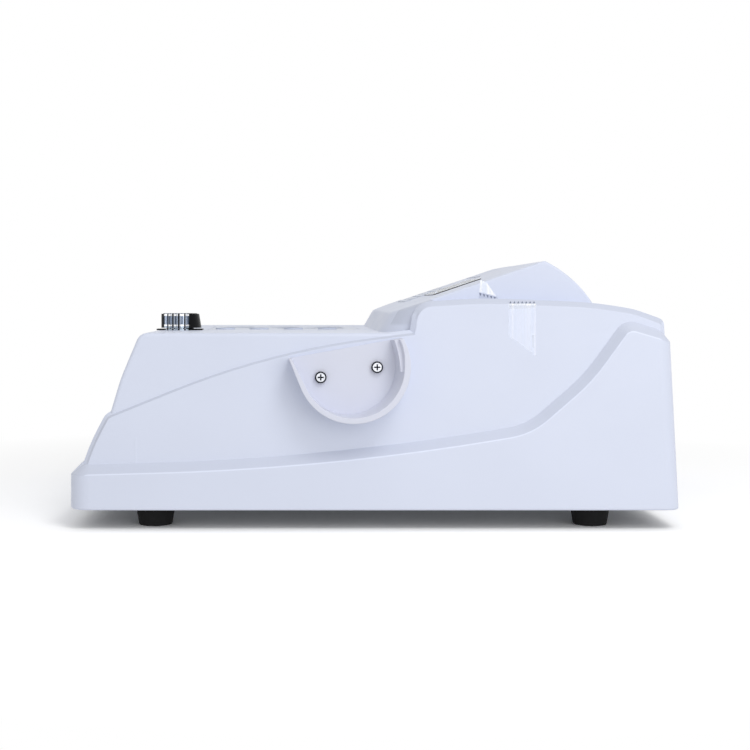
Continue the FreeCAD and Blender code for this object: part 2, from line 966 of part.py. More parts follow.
def plinth_block():
    """The lowest layer: rounded corners, then the slanted band all round its upper edge."""
    solid = prism(plinth_wire(), value("body_wide/2"))
    front = value("front_x")
    rear = value("rear_x-plinth_rear_lean") - 0.5
    corners = []
    for edge in solid.Edges:
        room = edge.BoundBox
        upright = room.ZLength > 10 and room.YLength < 0.01
        at_end = room.XMax < front + 0.1 or room.XMin > rear
        if upright and at_end:
            corners.append(edge)
    front_corners = [e for e in corners if e.BoundBox.XMax < 0]
    rear_corners = [e for e in corners if e.BoundBox.XMin > 0]
    solid = solid.makeFillet(value("plinth_round"), front_corners)
    rear_corners = [e for e in solid.Edges if any(same_line(e, r) for r in rear_corners)]
    solid = solid.makeFillet(value("plinth_rear_round"), rear_corners)
    solid = solid.makeChamfer(value("band_width"), edges_between(solid, looks_up, is_upright))
    return solid


def soften_plinth(solid):
    """Rounds the band's lower edge and the edge at the bottom."""
    foot = edges_between(solid, looks_down, is_upright)
    solid = solid.makeFillet(value("plinth_foot_round"), foot)
    bottom = value("band_front_high-band_width") - 3
    brow = [e for e in edges_between(solid, is_slanted, is_upright) if e.BoundBox.ZMin > bottom]
    return solid.makeFillet(value("band_round"), brow)


def side_rims(solid, half, low):
    """The edges round the two side faces of a layer, without the one along its foot."""
    rims = []
    for edge in solid.Edges:
        across = abs(abs(edge.CenterOfMass.y - value("mid_y")) - half) < 0.01
        if across and edge.BoundBox.ZMax > low + 1:
            rims.append(edge)
    return rims


def middle_block():
    """The middle layer with bevelled edges, opened between its two side walls for the ramp."""
    half = value("middle_half")
    solid = prism(middle_wire(), half)
    low = value("middle_foot_z")
    solid = solid.makeChamfer(value("middle_bevel"), side_rims(solid, half, low))
    solid = solid.makeFillet(value("middle_bevel_round"), side_rims(solid, half, low))
    gap = block(
        (value("rear_x-wing_foot_from_rear-ramp_gap_lead"), value("nose_x+ramp_gap_reach")),
        (value("mid_y-inner_half"), value("mid_y+inner_half")),
        (value("deck_top-ramp_gap_down"), value("wing_top") + 5),
    )
    return solid.cut(gap)


def upper_block():
    half = value("upper_half")
    solid = prism(upper_wire(), half)
    end = value("upper_end_x")
    foot = value("upper_foot_z")
    rims = [e for e in side_rims(solid, half, foot) if e.BoundBox.XMin < end - 1]
    return solid.makeFillet(value("upper_edge_round"), rims)


def housing_outside():
    outside = soften_plinth(plinth_block())
    pieces = [
        middle_block(),
        upper_block(),
        ramp_block(0),
        head_block(0, value("head_half_wide"), value("head_edge_round")),
    ]
    return outside.fuse(pieces)


def housing_inside():
    """The hollow of the housing, layer by layer, each one wall thick inside its own layer."""
    wall = value("shell_wall")
    front = value("front_x") + wall
    rear = value("rear_x") - wall
    low = value("shell_bottom") - 3
    step = value("band_front_high-band_width") - wall
    foot = prism(
        rounded_wire([(front, low, 0), (front, step, 0), (rear - 1.5, step, 0), (rear, low, 0)]),
        value("body_wide/2") - wall,
    )
    corners = [e for e in foot.Edges if e.BoundBox.ZLength > 10 and e.BoundBox.YLength < 0.01]
    foot = foot.makeFillet(value("plinth_round") - wall, corners)
    plinth = prism(plinth_wire().makeOffset2D(-value("band_width") - wall), value("body_wide/2") - wall)
    middle = prism(middle_wire().makeOffset2D(-wall), value("middle_half") - wall)
    roof = block(
        (value("front_x"), value("upper_end_x") + 2),
        (value("near_y"), value("far_y")),
        (value("deck_under"), value("apex_z")),
    )
    middle = middle.cut(roof)
    upper = prism(upper_wire().makeOffset2D(-wall), value("upper_half") - wall)
    ramp = ramp_block(wall)
    head = head_block(wall, value("head_half_wide") - wall)
    return foot.fuse([plinth, middle, upper, ramp, head])


def boss_texts():
    """The six screw bosses as formulas."""
    texts = []
    for y in ("mid_y-(middle_half-boss_inset)", "mid_y+(middle_half-boss_inset)"):
        for x in ("front_x+boss_front_from_front", "0", "rear_x-boss_rear_from_rear"):
            texts.append((x, y))
    return texts


def boss_places():
    """The six screw bosses along the two long sides, as x and y."""
    return [(value(x), value(y)) for x, y in boss_texts()]


def housing_bosses():
    """Each boss stands on the base plate and is tied to the side wall by a rib."""
    bosses = []
    low = value("base_top")
    tall = value("boss_tall")
    rib = value("shell_wall/2")
    reach = value("(body_wide-shell_wall)/2")
    rib_top = low + value("boss_rib_tall")
    for x, y in boss_places():
        bosses.append(Part.makeCylinder(value("boss_radius"), tall, Vector(x, y, low)))
        outer = value("mid_y") + math.copysign(reach, y - value("mid_y"))
        bosses.append(block((x - rib, x + rib), sorted((y, outer)), (low, rib_top)))
    return bosses


def rear_frame():
    """The upright frame inside the rear wall that the rear panel is screwed to."""
    border = value("rear_frame_border")
    half = value("rear_window_half") + border
    middle = value("mid_y")
    return block(
        (value("panel_face_x"), value("rear_x")),
        (middle - half, middle + half),
        (value("rear_window_low") - border, value("rear_window_high") + border),
    )


def turned_to_slope(solid):
    """Carries a solid from the slope's own frame (along, across, outwards) into place."""
    solid = solid.copy()
    solid.rotate(Vector(0, 0, 0), Vector(0, 1, 0), -value("slope_angle"))
    solid.translate(Vector(value("apex_x"), 0, value("apex_z")))
    return solid


def display_cuts():
    """The glass recess and the view opening through the slope."""
    low = -value("window_below_apex")
    high = low + value("window_long")
    middle = value("window_y")
    half = value("window_wide") / 2
    gap = value("fit_gap")
    border = value("view_border")
    recess = block(
        (low - gap, high + gap),
        (middle - half - gap, middle + half + gap),
        (value("window_proud-window_thick"), 5),
    )
    view = block(
        (low + border, high - border),
        (middle - half + border, middle + half - border),
        (-value("shell_wall") - 3, 5),
    )
    return [turned_to_slope(recess), turned_to_slope(view)]


def keypad_cut():
    """The shallow seat of the keypad on the slope."""
    low = -value("keypad_below_apex")
    gap = value("fit_gap")
    half = value("keypad_wide") / 2
    middle = value("printer_y")
    seat = block(
        (low - gap, low + value("keypad_long") + gap),
        (middle - half - gap, middle + half + gap),
        (-value("keypad_thick"), 5),
    )
    return turned_to_slope(seat)


def lid_opening():
    """The opening over the paper roll, open from the slope over the apex down to the rear roof."""
    gap = value("lid_gap")
    middle = value("printer_y")
    half = value("lid_half_wide") + gap
    upper = block(
        (value("lid_edge_x-lid_slit"), value("rear_x")),
        (middle - half, middle + half),
        (value("hinge_z") - value("hinge_barrel") - gap, value("apex_z") + 5),
    )
    return upper


def rest_screw_texts():
    half = "rest_screw_spacing/2"
    x = "(rest_x+rest_screw_shift)"
    z = "(rest_z-rest_screw_drop)"
    tilt = "rest_top_tilt"
    return [
        (f"{x}-{half}*cos({tilt})", f"{z}-{half}*sin({tilt})"),
        (f"{x}+{half}*cos({tilt})", f"{z}+{half}*sin({tilt})"),
    ]


def rest_screw_places():
    """The two screws of the pipette rest, on the side wall, as x and z."""
    return [(value(x), value(z)) for x, z in rest_screw_texts()]


def housing_cuts():
    """Everything that is cut through the finished shell."""
    gap = value("fit_gap")
    middle = value("mid_y")
    deck = block(
        (value("panel_x") - gap, value("panel_end") + gap),
        (middle - value("panel_near") - gap, middle + value("panel_far") + gap),
        (value("deck_under") - 5, value("deck_top") + 5),
    )
    deck_corners = [e for e in deck.Edges if e.BoundBox.ZLength > 5]
    deck = deck.makeFillet(value("panel_round"), deck_corners)
    dial = Part.makeCylinder(
        value("bush_radius") + gap,
        20,
        Vector(value("dial_x"), value("dial_y"), value("deck_under") - 5),
    )
    half = value("rear_window_half")
    window = block(
        (value("panel_face_x") - 5, value("rear_x") + 5),
        (middle - half, middle + half),
        (value("rear_window_low"), value("rear_window_high")),
    )
    cuts = [deck, dial, window, lid_opening(), keypad_cut()] + display_cuts()
    for x, z in rest_screw_places():
        hole = Part.makeCylinder(
            value("pan_shank_radius") + gap, 30, Vector(x, value("side_y") - 5, z), Vector(0, 1, 0)
        )
        cuts.append(hole)
    for x, y in boss_places():
        hole = Part.makeCylinder(
            value("screw_radius+pin_gap"),
            value("boss_hole_deep") + 1,
            Vector(x, y, value("base_top") - 1),
        )
        cuts.append(hole)
    for y, z in rear_screw_texts():
        hole = Part.makeCylinder(
            value("screw_radius+pin_gap"),
            value("panel_screw_long"),
            Vector(value("panel_face_x") - 1, value(y), value(z)),
            Vector(1, 0, 0),
        )
        cuts.append(hole)
    return cuts


def rear_screw_texts():
    half = "(rear_window_half+rear_frame_border/2)"
    return [
        (y, z)
        for y in (f"mid_y-{half}", f"mid_y+{half}")
        for z in ("rear_window_low-rear_frame_border/2", "rear_window_high+rear_frame_border/2")
    ]


def hinge_ears():
    """Two small ears on the rear roof that hold the lid's hinge pin."""
    ears = []
    x = value("hinge_x")
    z = value("hinge_z")
    barrel = value("hinge_barrel")
    wide = value("ear_wide")
    middle = value("printer_y")
    for side in (-1, 1):
        outer = middle + side * value("lid_half_wide-ear_inset")
        low_y = min(outer, outer - side * wide)
        eye = Part.makeCylinder(barrel, wide, Vector(x, low_y, z), Vector(0, 1, 0))
        foot = z - barrel - value("ear_foot")
        web = block((x - barrel, x + barrel), (low_y, low_y + wide), (foot, z))
        ears.append(eye.fuse(web))
    return ears


def make_housing():
    """The moulded housing: one shell with deck, side walls and console."""
    shell = housing_outside().cut(housing_inside())
    frame = rear_frame().common(housing_outside())
    shell = shell.fuse([frame] + housing_bosses())
    for tool in housing_cuts():
        smaller = shell.cut(tool)
        check_removed(shell, smaller, "a housing cut")
        shell = smaller
    shell = shell.fuse(hinge_ears())
    pin = Part.makeCylinder(
        value("hinge_pin+pin_gap"),
        2 * value("lid_half_wide"),
        Vector(value("hinge_x"), value("printer_y-lid_half_wide"), value("hinge_z")),
        Vector(0, 1, 0),
    )
    shell = shell.cut(pin).removeSplitter()
    item = doc.addObject("Part::Feature", "housing_shell")
    item.Shape = shell
    return keep(item, "housing_shell")



# Base plate and what it carries


def foot_places():
    """The four feet: a name, and x and y as formulas."""
    places = []
    for end, x in (("front", "front_x+foot_from_end"), ("rear", "rear_x-foot_from_end")):
        for side, y in (("near", "near_y+foot_from_side"), ("far", "far_y-foot_from_side")):
            places.append((f"foot_{end}_{side}", x, y))
    return places


def make_base_plate():
    """A steel plate that closes the housing from below, with a field of cooling slots."""
    body = doc.addObject("PartDesign::Body", "base_plate")
    edge = "shell_wall+base_gap"
    long = f"body_long/2-({edge})"
    wide = f"body_wide/2-({edge})"
    corners = [
        (f"-({long})", f"mid_y-({wide})"),
        (long, f"mid_y-({wide})"),
        (long, f"mid_y+{wide}"),
        (f"-({long})", f"mid_y+{wide}"),
    ]
    plate = pad(body, "plate_pad", outline(body, "plate_outline", "XY_Plane", corners), "base_thick")
    doc.recompute()
    upright = [f"Edge{i}" for i, e in enumerate(plate.Shape.Edges, 1) if e.BoundBox.ZLength > 1]
    rounding = body.newObject("PartDesign::Fillet", "plate_corners")
    rounding.Base = (plate, upright)
    bind(rounding, "Radius", f"plinth_round-({edge})")
    holes = [(x, y, "pan_shank_radius+pin_gap") for _, x, y in foot_places()]
    for x, y in boss_texts():
        holes.append((x, y, "screw_radius+pin_gap"))
    drill = circles(body, "plate_holes", "XY_Plane", holes)
    pocket(body, "plate_drilling", drill, "base_thick*2", True)
    doc.recompute()
    slot = [
        ("0-vent_long/2", "mid_y-vent_pitch*4-vent_wide/2"),
        ("vent_long/2", "mid_y-vent_pitch*4-vent_wide/2"),
        ("vent_long/2", "mid_y-vent_pitch*4+vent_wide/2"),
        ("0-vent_long/2", "mid_y-vent_pitch*4+vent_wide/2"),
    ]
    slots = pocket(
        body, "vent_cut", outline(body, "vent_outline", "XY_Plane", slot), "base_thick*2", True
    )
    doc.recompute()
    pattern = body.newObject("PartDesign::LinearPattern", "vents")
    pattern.Originals = [slots]
    pattern.Direction = (origin_plane(body, "Y_Axis"), [""])
    pattern.Occurrences = 9
    bind(pattern, "Length", "vent_pitch*8")
    body.Tip = pattern
    put(body, "0", "0", "base_low")
    return keep(body, "base_plate")


def make_feet():
    """Tapered rubber feet, each with a recess for its screw."""
    profile = [
        ("pan_shank_radius+pin_gap", "foot_recess_deep"),
        ("foot_recess_radius", "foot_recess_deep"),
        ("foot_recess_radius", "0"),
        ("foot_low_radius", "0"),
        ("foot_low_radius+0.7", "0.9"),
        ("foot_top_radius", "base_low-1.5"),
        ("foot_top_radius", "base_low"),
        ("pan_shank_radius+pin_gap", "base_low"),
    ]
    for name, x, y in foot_places():
        keep(turned(name, profile, x, y, "0"), name)


def make_foot_fasteners():
    screws = []
    nuts = []
    for name, x, y in foot_places():
        long = "base_top+nut_tall+0.8-foot_recess_deep"
        screws.append(
            screw(
                name + "_screw",
                "z",
                1,
                "pan_shank_radius",
                "foot_head_radius",
                "pan_head_tall",
                "foot_recess_deep",
                long,
                (x, y),
            )
        )
        nut = hexagon(name + "_nut", "nut_radius", ("base_top", "base_top+nut_tall"), x, y)
        bore = rod(
            name + "_nut_bore",
            "z",
            "pan_shank_radius+pin_gap",
            ("base_top-1", "base_top+nut_tall+1"),
            (x, y),
        )
        nuts.append(cut(name + "_nut_bored", nut, [bore]))
    keep(group("foot_screws", screws), "foot_screws")
    keep(group("foot_nuts", nuts), "foot_nuts")


def make_base_screws():
    screws = []
    for i, centre in enumerate(boss_texts()):
        screws.append(
            screw(
                f"base_screw_{i}",
                "z",
                1,
                "screw_radius",
                "base_head_radius",
                "base_head_tall",
                "base_low",
                "base_screw_long",
                centre,
            )
        )
    keep(group("base_screws", screws), "base_screws")


# Side rest for the pipette


def rest_outline(radius, aside, down, tip):
    """The rest seen from the side: a tilted top line, a straight left end and a round belly."""
    tilt = math.radians(value("rest_top_tilt"))
    along = Vector(math.cos(tilt), 0, math.sin(tilt))
    up = Vector(-math.sin(tilt), 0, math.cos(tilt))
    middle = Vector(value("rest_x"), 0, value("rest_z"))
    centre = middle - Vector(aside, 0, down)
    top = value("rest_top_rise") + (middle - centre).dot(up)
    left = middle - along * (value("rest_left_reach") - tip) + up * value("rest_top_rise")
    right = centre + along * math.sqrt(radius**2 - top**2) + up * top
    tangent_turn = math.acos(radius / left.distanceToPoint(centre))
    start = math.atan2(left.z - centre.z, left.x - centre.x) + tangent_turn
    end = math.atan2(right.z - centre.z, right.x - centre.x) + 2 * math.pi

    def on_belly(angle):
        return centre + Vector(math.cos(angle), 0, math.sin(angle)) * radius

    belly = Part.Arc(on_belly(start), on_belly((start + end) / 2), right)
    edges = [
        Part.LineSegment(right, left).toShape(),
        Part.LineSegment(left, on_belly(start)).toShape(),
        belly.toShape(),
    ]
    return Part.Wire(edges)


def rest_rib():
    """The slender rib on the inner wall, wide at the open top and narrow below."""
    middle = Vector(value("rest_x"), value("side_y"), value("rest_z"))
    aside = value("rest_rib_aside")
    top = value("rest_rib_up")
    low = top - value("rest_rib_long")
    bulge = Vector(aside + value("rest_rib_bulge"), 0, (top + low) / 2)
    ends = [Vector(aside, 0, top), Vector(aside + value("rest_rib_lean"), 0, low)]
    wall = Vector(value("rest_radius") - value("rest_rim") / 2, 0, low)
    corner = Vector(wall.x, 0, top)
    edges = [
        Part.Arc(ends[0], bulge, ends[1]).toShape(),
        Part.LineSegment(ends[1], wall).toShape(),
        Part.LineSegment(wall, corner).toShape(),
        Part.LineSegment(corner, ends[0]).toShape(),
    ]
    face = Part.Face(Part.Wire(edges))
    face.translate(middle)
    return face.extrude(Vector(0, -value("rest_reach-rest_rib_back"), 0))


def make_pipette_rest():
    """A cup with an open top that stands out from the near side wall."""
    side = value("side_y")
    reach = value("rest_reach")
    plate = value("rest_plate")
    outer = rest_outline(value("rest_radius"), 0, 0, 0)
    solid = Part.Face(outer).extrude(Vector(0, -reach, 0))
    solid.translate(Vector(0, side, 0))
    tip = value("rest_tip")
    mouth_radius = value("rest_radius-rest_rim")
    mouth = rest_outline(mouth_radius, value("rest_mouth_aside"), 0, tip)
    floor = rest_outline(
        mouth_radius - value("rest_narrowing"),
        value("rest_floor_aside"),
        value("rest_floor_down"),
        tip,
    )
    mouth.translate(Vector(0, side - reach - 0.01, 0))
    floor.translate(Vector(0, side - plate, 0))
    hollow = Part.makeLoft([mouth, floor], True, True)
    lift = hollow.copy()
    lift.translate(Vector(0, 0, value("rest_rim")))
    cup = solid.cut(hollow.fuse(lift))
    check_removed(solid, cup, "the cup of the rest")
    cup = cup.fuse(rest_rib().common(solid))
    rims = [
        e
        for e in cup.Edges
        if abs(e.BoundBox.YMin - (side - reach)) < 0.01 and e.BoundBox.YLength < 0.01
    ]
    cup = cup.makeFillet(value("rest_edge_round"), rims)
    for x, z in rest_screw_places():
        hole = Part.makeCylinder(
            value("pan_shank_radius+pin_gap"), reach, Vector(x, side + 1, z), Vector(0, -1, 0)
        )
        cup = cup.cut(hole)
    item = doc.addObject("Part::Feature", "pipette_rest")
    item.Shape = cup.removeSplitter()
    return keep(item, "pipette_rest")


def make_rest_fasteners():
    """Two pan head screws with cross recesses, and their nuts inside the housing."""
    screws = []
    nuts = []
    seat = "side_y-rest_plate"
    for i, (x, z) in enumerate(rest_screw_texts()):
        name = f"rest_screw_{i}"
        long = "rest_plate+shell_wall+nut_tall+1.8"
        whole = screw(
            name,
            "y",
            1,
            "pan_shank_radius",
            "pan_head_radius",
            "pan_head_tall",
            seat,
            long,
            (x, z),
        )
        face = f"{seat}-pan_head_tall"
        slots = []
        sides = ("cross_half_long", "cross_half_wide")
        for bar, (half_x, half_z) in enumerate((sides, sides[::-1])):
            slots.append(
                box(
                    f"{name}_slot_{bar}",
                    (f"{x}-{half_x}", f"{x}+{half_x}"),
                    (f"{face}-1", f"{face}+cross_deep"),
                    (f"{z}-{half_z}", f"{z}+{half_z}"),
                )
            )
        screws.append(cut(name + "_crossed", whole, slots))
        inside = "side_y+shell_wall"
        nut = rod(f"rest_nut_{i}", "y", "nut_radius", (inside, f"{inside}+nut_tall"), (x, z))
        bore = rod(
            f"rest_nut_bore_{i}",
            "y",
            "pan_shank_radius+pin_gap",
            (f"{inside}-1", f"{inside}+nut_tall+1"),
            (x, z),
        )
        nuts.append(cut(f"rest_nut_bored_{i}", nut, [bore]))
    keep(group("rest_screws", screws), "rest_screws")
    keep(group("rest_nuts", nuts), "rest_nuts")


# Wells


def measuring_wells():
    """The four measuring wells along the near row, as x and y."""
    x = "block_x+first_well_in-block_inset"
    return [(f"{x}+measuring_pitch*{i}", "mid_y-measuring_row") for i in range(4)]


def incubation_wells():
    x = "block_x+first_well_in-block_inset"
    places = []
    for row in range(2):
        for i in range(5):
            y = f"mid_y-incubation_row+incubation_step*{row}"
            places.append((f"{x}+incubation_pitch*{i}", y))
    return places


def reagent_wells():
    x = "panel_x+reagent_first_in"
    return [(f"{x}+reagent_pitch*{i}", "mid_y+reagent_row") for i in range(3)]


def panel_screw_places():
    return [
        (x, y)
        for x in ("panel_x+panel_screw_inset", "panel_end-panel_screw_inset")
        for y in ("mid_y-panel_near+panel_screw_inset", "mid_y+panel_far-panel_screw_inset")
    ]


def make_well_panel():
    """The plate over the blocks, flush with the deck, with a raised collar round each measuring well."""
    plate = box(
        "panel_plate",
        ("panel_x", "panel_end"),
        ("mid_y-panel_near", "mid_y+panel_far"),
        ("block_top", "deck_top"),
    )
    doc.recompute()
    rounded = doc.addObject("Part::Fillet", "panel_rounded")
    rounded.Base = plate
    radius = value("panel_round")
    rounded.Edges = [
        (i, radius, radius)
        for i, e in enumerate(plate.Shape.Edges, 1)
        if e.BoundBox.ZLength > 1
    ]
    collars = []
    holes = []
    span = ("block_top-1", "deck_top+collar_tall+1")
    for i, (x, y) in enumerate(measuring_wells()):
        top = ("deck_top", "deck_top+collar_tall")
        collars.append(rod(f"panel_collar_{i}", "z", "collar_radius", top, (x, y)))
        holes.append(rod(f"panel_measuring_{i}", "z", "well_radius+pin_gap", span, (x, y)))
    for i, (x, y) in enumerate(incubation_wells()):
        holes.append(rod(f"panel_incubation_{i}", "z", "well_radius+pin_gap", span, (x, y)))
    for i, (x, y) in enumerate(reagent_wells()):
        holes.append(rod(f"panel_reagent_{i}", "z", "reagent_radius+pin_gap", span, (x, y)))
    for i, (x, y) in enumerate(panel_screw_places()):
        holes.append(rod(f"panel_screw_hole_{i}", "z", "screw_radius+pin_gap", span, (x, y)))
        seat = ("deck_top-small_head_tall", "deck_top+1")
        holes.append(rod(f"panel_screw_seat_{i}", "z", "small_head_radius+pin_gap", seat, (x, y)))
    whole = fuse("panel_whole", [rounded] + collars)
    keep(cut("well_panel", whole, holes), "well_panel")


def make_panel_screws():
    screws = [
        screw(
            f"panel_screw_{i}",
            "z",
            -1,
            "screw_radius",
            "small_head_radius",
            "small_head_tall",
            "deck_top-small_head_tall",
            "panel_screw_long",
            centre,
        )
        for i, centre in enumerate(panel_screw_places())
    ]
    keep(group("panel_screws", screws), "panel_screws")


def block_screw_holes(name, low_y, high_y):
    """Holes for those panel screws that stand over a block between two formulas in y."""
    holes = []
    for i, (x, y) in enumerate(panel_screw_places()):
        if value(low_y) < value(y) < value(high_y):
            span = ("deck_top-small_head_tall-panel_screw_long-0.5", "block_top+1")
            holes.append(rod(f"{name}_screw_hole_{i}", "z", "screw_radius+pin_gap", span, (x, y)))
    return holes


def make_measuring_block():
    """The near block: four wells, each crossed by a light bore."""
    base = box(
        "measuring_base",
        ("block_x", "block_end"),
        ("measuring_near", "measuring_far"),
        ("block_low", "block_top"),
    )
    holes = block_screw_holes("measuring", "measuring_near", "measuring_far")
    for i, (x, y) in enumerate(measuring_wells()):
        well = ("block_top-measuring_deep", "block_top+1")
        holes.append(rod(f"measuring_well_{i}", "z", "well_radius", well, (x, y)))
        across = ("measuring_near-1", "measuring_far+1")
        bore = rod(f"light_bore_{i}", "y", "light_bore_radius", across, (x, "block_top-light_bore_down"))
        holes.append(bore)
    keep(cut("measuring_block", base, holes), "measuring_block")


def make_incubation_block():
    base = box(
        "incubation_base",
        ("block_x", "block_end"),
        ("incubation_near", "incubation_far"),
        ("block_low", "block_top"),
    )
    holes = []
    for i, (x, y) in enumerate(incubation_wells()):
        well = ("block_top-incubation_deep", "block_top+1")
        holes.append(rod(f"incubation_well_{i}", "z", "well_radius", well, (x, y)))
    probe = ("block_end-probe_long+2", "block_end+1")
    holes.append(rod("probe_bore", "x", "probe_radius+pin_gap", probe, ("probe_y", "probe_z")))
    keep(cut("incubation_block", base, holes), "incubation_block")


def make_reagent_block():
    """The far block: three wide wells, with a pocket for the stirrer's magnet under the first."""
    base = box(
        "reagent_base",
        ("block_x", "block_end"),
        ("reagent_near", "reagent_far"),
        ("block_low", "block_top"),
    )
    holes = block_screw_holes("reagent", "reagent_near", "reagent_far")
    for i, (x, y) in enumerate(reagent_wells()):
        well = ("block_top-reagent_deep", "block_top+1")
        holes.append(rod(f"reagent_well_{i}", "z", "reagent_radius", well, (x, y)))
    pocket_span = ("block_low-1", "block_low+stirrer_disc_thick+2")
    x, y = reagent_wells()[0]
    holes.append(rod("magnet_pocket", "z", "stirrer_disc_radius+1", pocket_span, (x, y)))
    keep(cut("reagent_block", base, holes), "reagent_block")


def make_heater():
    """The silicone heater mat under the blocks, and the plate that carries them."""
    x, y = reagent_wells()[0]
    span_x = ("block_x", "block_end")
    span_y = ("measuring_near", "reagent_far")
    mat = box("mat_sheet", span_x, span_y, ("mat_low", "block_low"))
    mat_hole = rod("mat_hole", "z", "stirrer_disc_radius+1", ("mat_low-1", "block_low+1"), (x, y))
    keep(cut("heater_mat", mat, [mat_hole]), "heater_mat")
    plate = box("carrier_sheet", span_x, span_y, ("carrier_low", "mat_low"))
    hole = rod("carrier_hole", "z", "3.5", ("carrier_low-1", "mat_low+1"), (x, y))
    keep(cut("carrier_plate", plate, [hole]), "carrier_plate")


def make_posts():
    """Four hexagonal posts between the base plate and the carrier plate."""
    posts = []
    for i, x in enumerate(("block_x+post_inset", "block_end-post_inset")):
        for j, y in enumerate(("measuring_near+post_inset", "reagent_far-post_inset")):
            posts.append(hexagon(f"post_{i}_{j}", "post_radius", ("base_top", "carrier_low"), x, y))
    keep(group("block_posts", posts), "block_posts")


def make_optics():
    """A strip of lamps on the near side of the measuring block and a strip of sensors on its far side."""
    z = ("block_top-light_bore_down-9", "block_top-light_bore_down+9")
    centre_z = "block_top-light_bore_down"
    face = "measuring_near-0.6"
    board = box(
        "lamp_strip", ("block_x+2", "block_end-2"), (f"{face}-optic_board_thick", face), z
    )
    lamps = [board]
    for i, (x, y) in enumerate(measuring_wells()):
        span = (face, f"{face}+0.6+optic_lamp_long")
        lamps.append(rod(f"lamp_{i}", "y", "light_bore_radius-pin_gap", span, (x, centre_z)))
    keep(fuse("lamp_board", lamps), "lamp_board")
    sensor_z = ("block_low-24", "carrier_low-1")
    sensor_x = ("block_x+12", "block_end-12")
    strip = box("sensor_strip", sensor_x, ("mid_y-6", "mid_y-6+optic_board_thick"), sensor_z)
    chips = [strip]
    for i in range(4):
        x = f"block_x+22+measuring_pitch*{i}*0.8"
        chips.append(
            box(
                f"amplifier_{i}",
                (x, f"{x}+8"),
                ("mid_y-6+optic_board_thick", "mid_y-4.2+optic_board_thick"),
                ("block_low-19", "block_low-13"),
            )
        )
    foot = box(
        "sensor_foot",
        sensor_x,
        ("mid_y-12", "mid_y-6+optic_board_thick"),
        ("carrier_low-2", "carrier_low"),
    )
    chips.append(foot)
    keep(fuse("amplifier_board", chips), "amplifier_board")


def make_probe():
    """The temperature probe in the end of the incubation block."""
    centre = ("probe_y", "probe_z")
    stem = rod(
        "probe_stem", "x", "probe_radius", ("block_end-probe_long+2.3", "block_end+0.3"), centre
    )
    head = rod("probe_head", "x", "probe_radius+1.2", ("block_end+0.3", "block_end+5"), centre)
    keep(fuse("temperature_probe", [stem, head]), "temperature_probe")


def make_stirrer():
    """A small motor under the first reagent well turns a disc that holds the stirring magnet."""
    x, y = reagent_wells()[0]
    can = rod(
        "stirrer_can",
        "z",
        "stirrer_motor_radius",
        ("carrier_low-stirrer_motor_tall", "carrier_low"),
        (x, y),
    )
    nose = rod("stirrer_nose", "z", "3", ("carrier_low", "carrier_low+1.5"), (x, y))
    shaft_hole = rod(
        "stirrer_hole", "z", "1.3+pin_gap", ("carrier_low-6", "carrier_low+3"), (x, y)
    )
    keep(cut("stirrer_motor", fuse("stirrer_case", [can, nose]), [shaft_hole]), "stirrer_motor")
    shaft = rod("stirrer_shaft", "z", "1.3", ("carrier_low-5.5", "mat_low+2"), (x, y))
    disc_low = "mat_low+1"
    disc = rod(
        "stirrer_disc",
        "z",
        "stirrer_disc_radius",
        (disc_low, f"{disc_low}+stirrer_disc_thick"),
        (x, y),
    )
    magnets = [
        rod(
            f"stirrer_magnet_{i}",
            "z",
            "2",
            (f"{disc_low}+stirrer_disc_thick", f"{disc_low}+stirrer_disc_thick+0.8"),
            (f"{x}+{shift}", y),
        )
        for i, shift in enumerate(("4.5", "-4.5"))
    ]
    keep(fuse("stirrer_rotor", [shaft, disc] + magnets), "stirrer_rotor")


# Dial


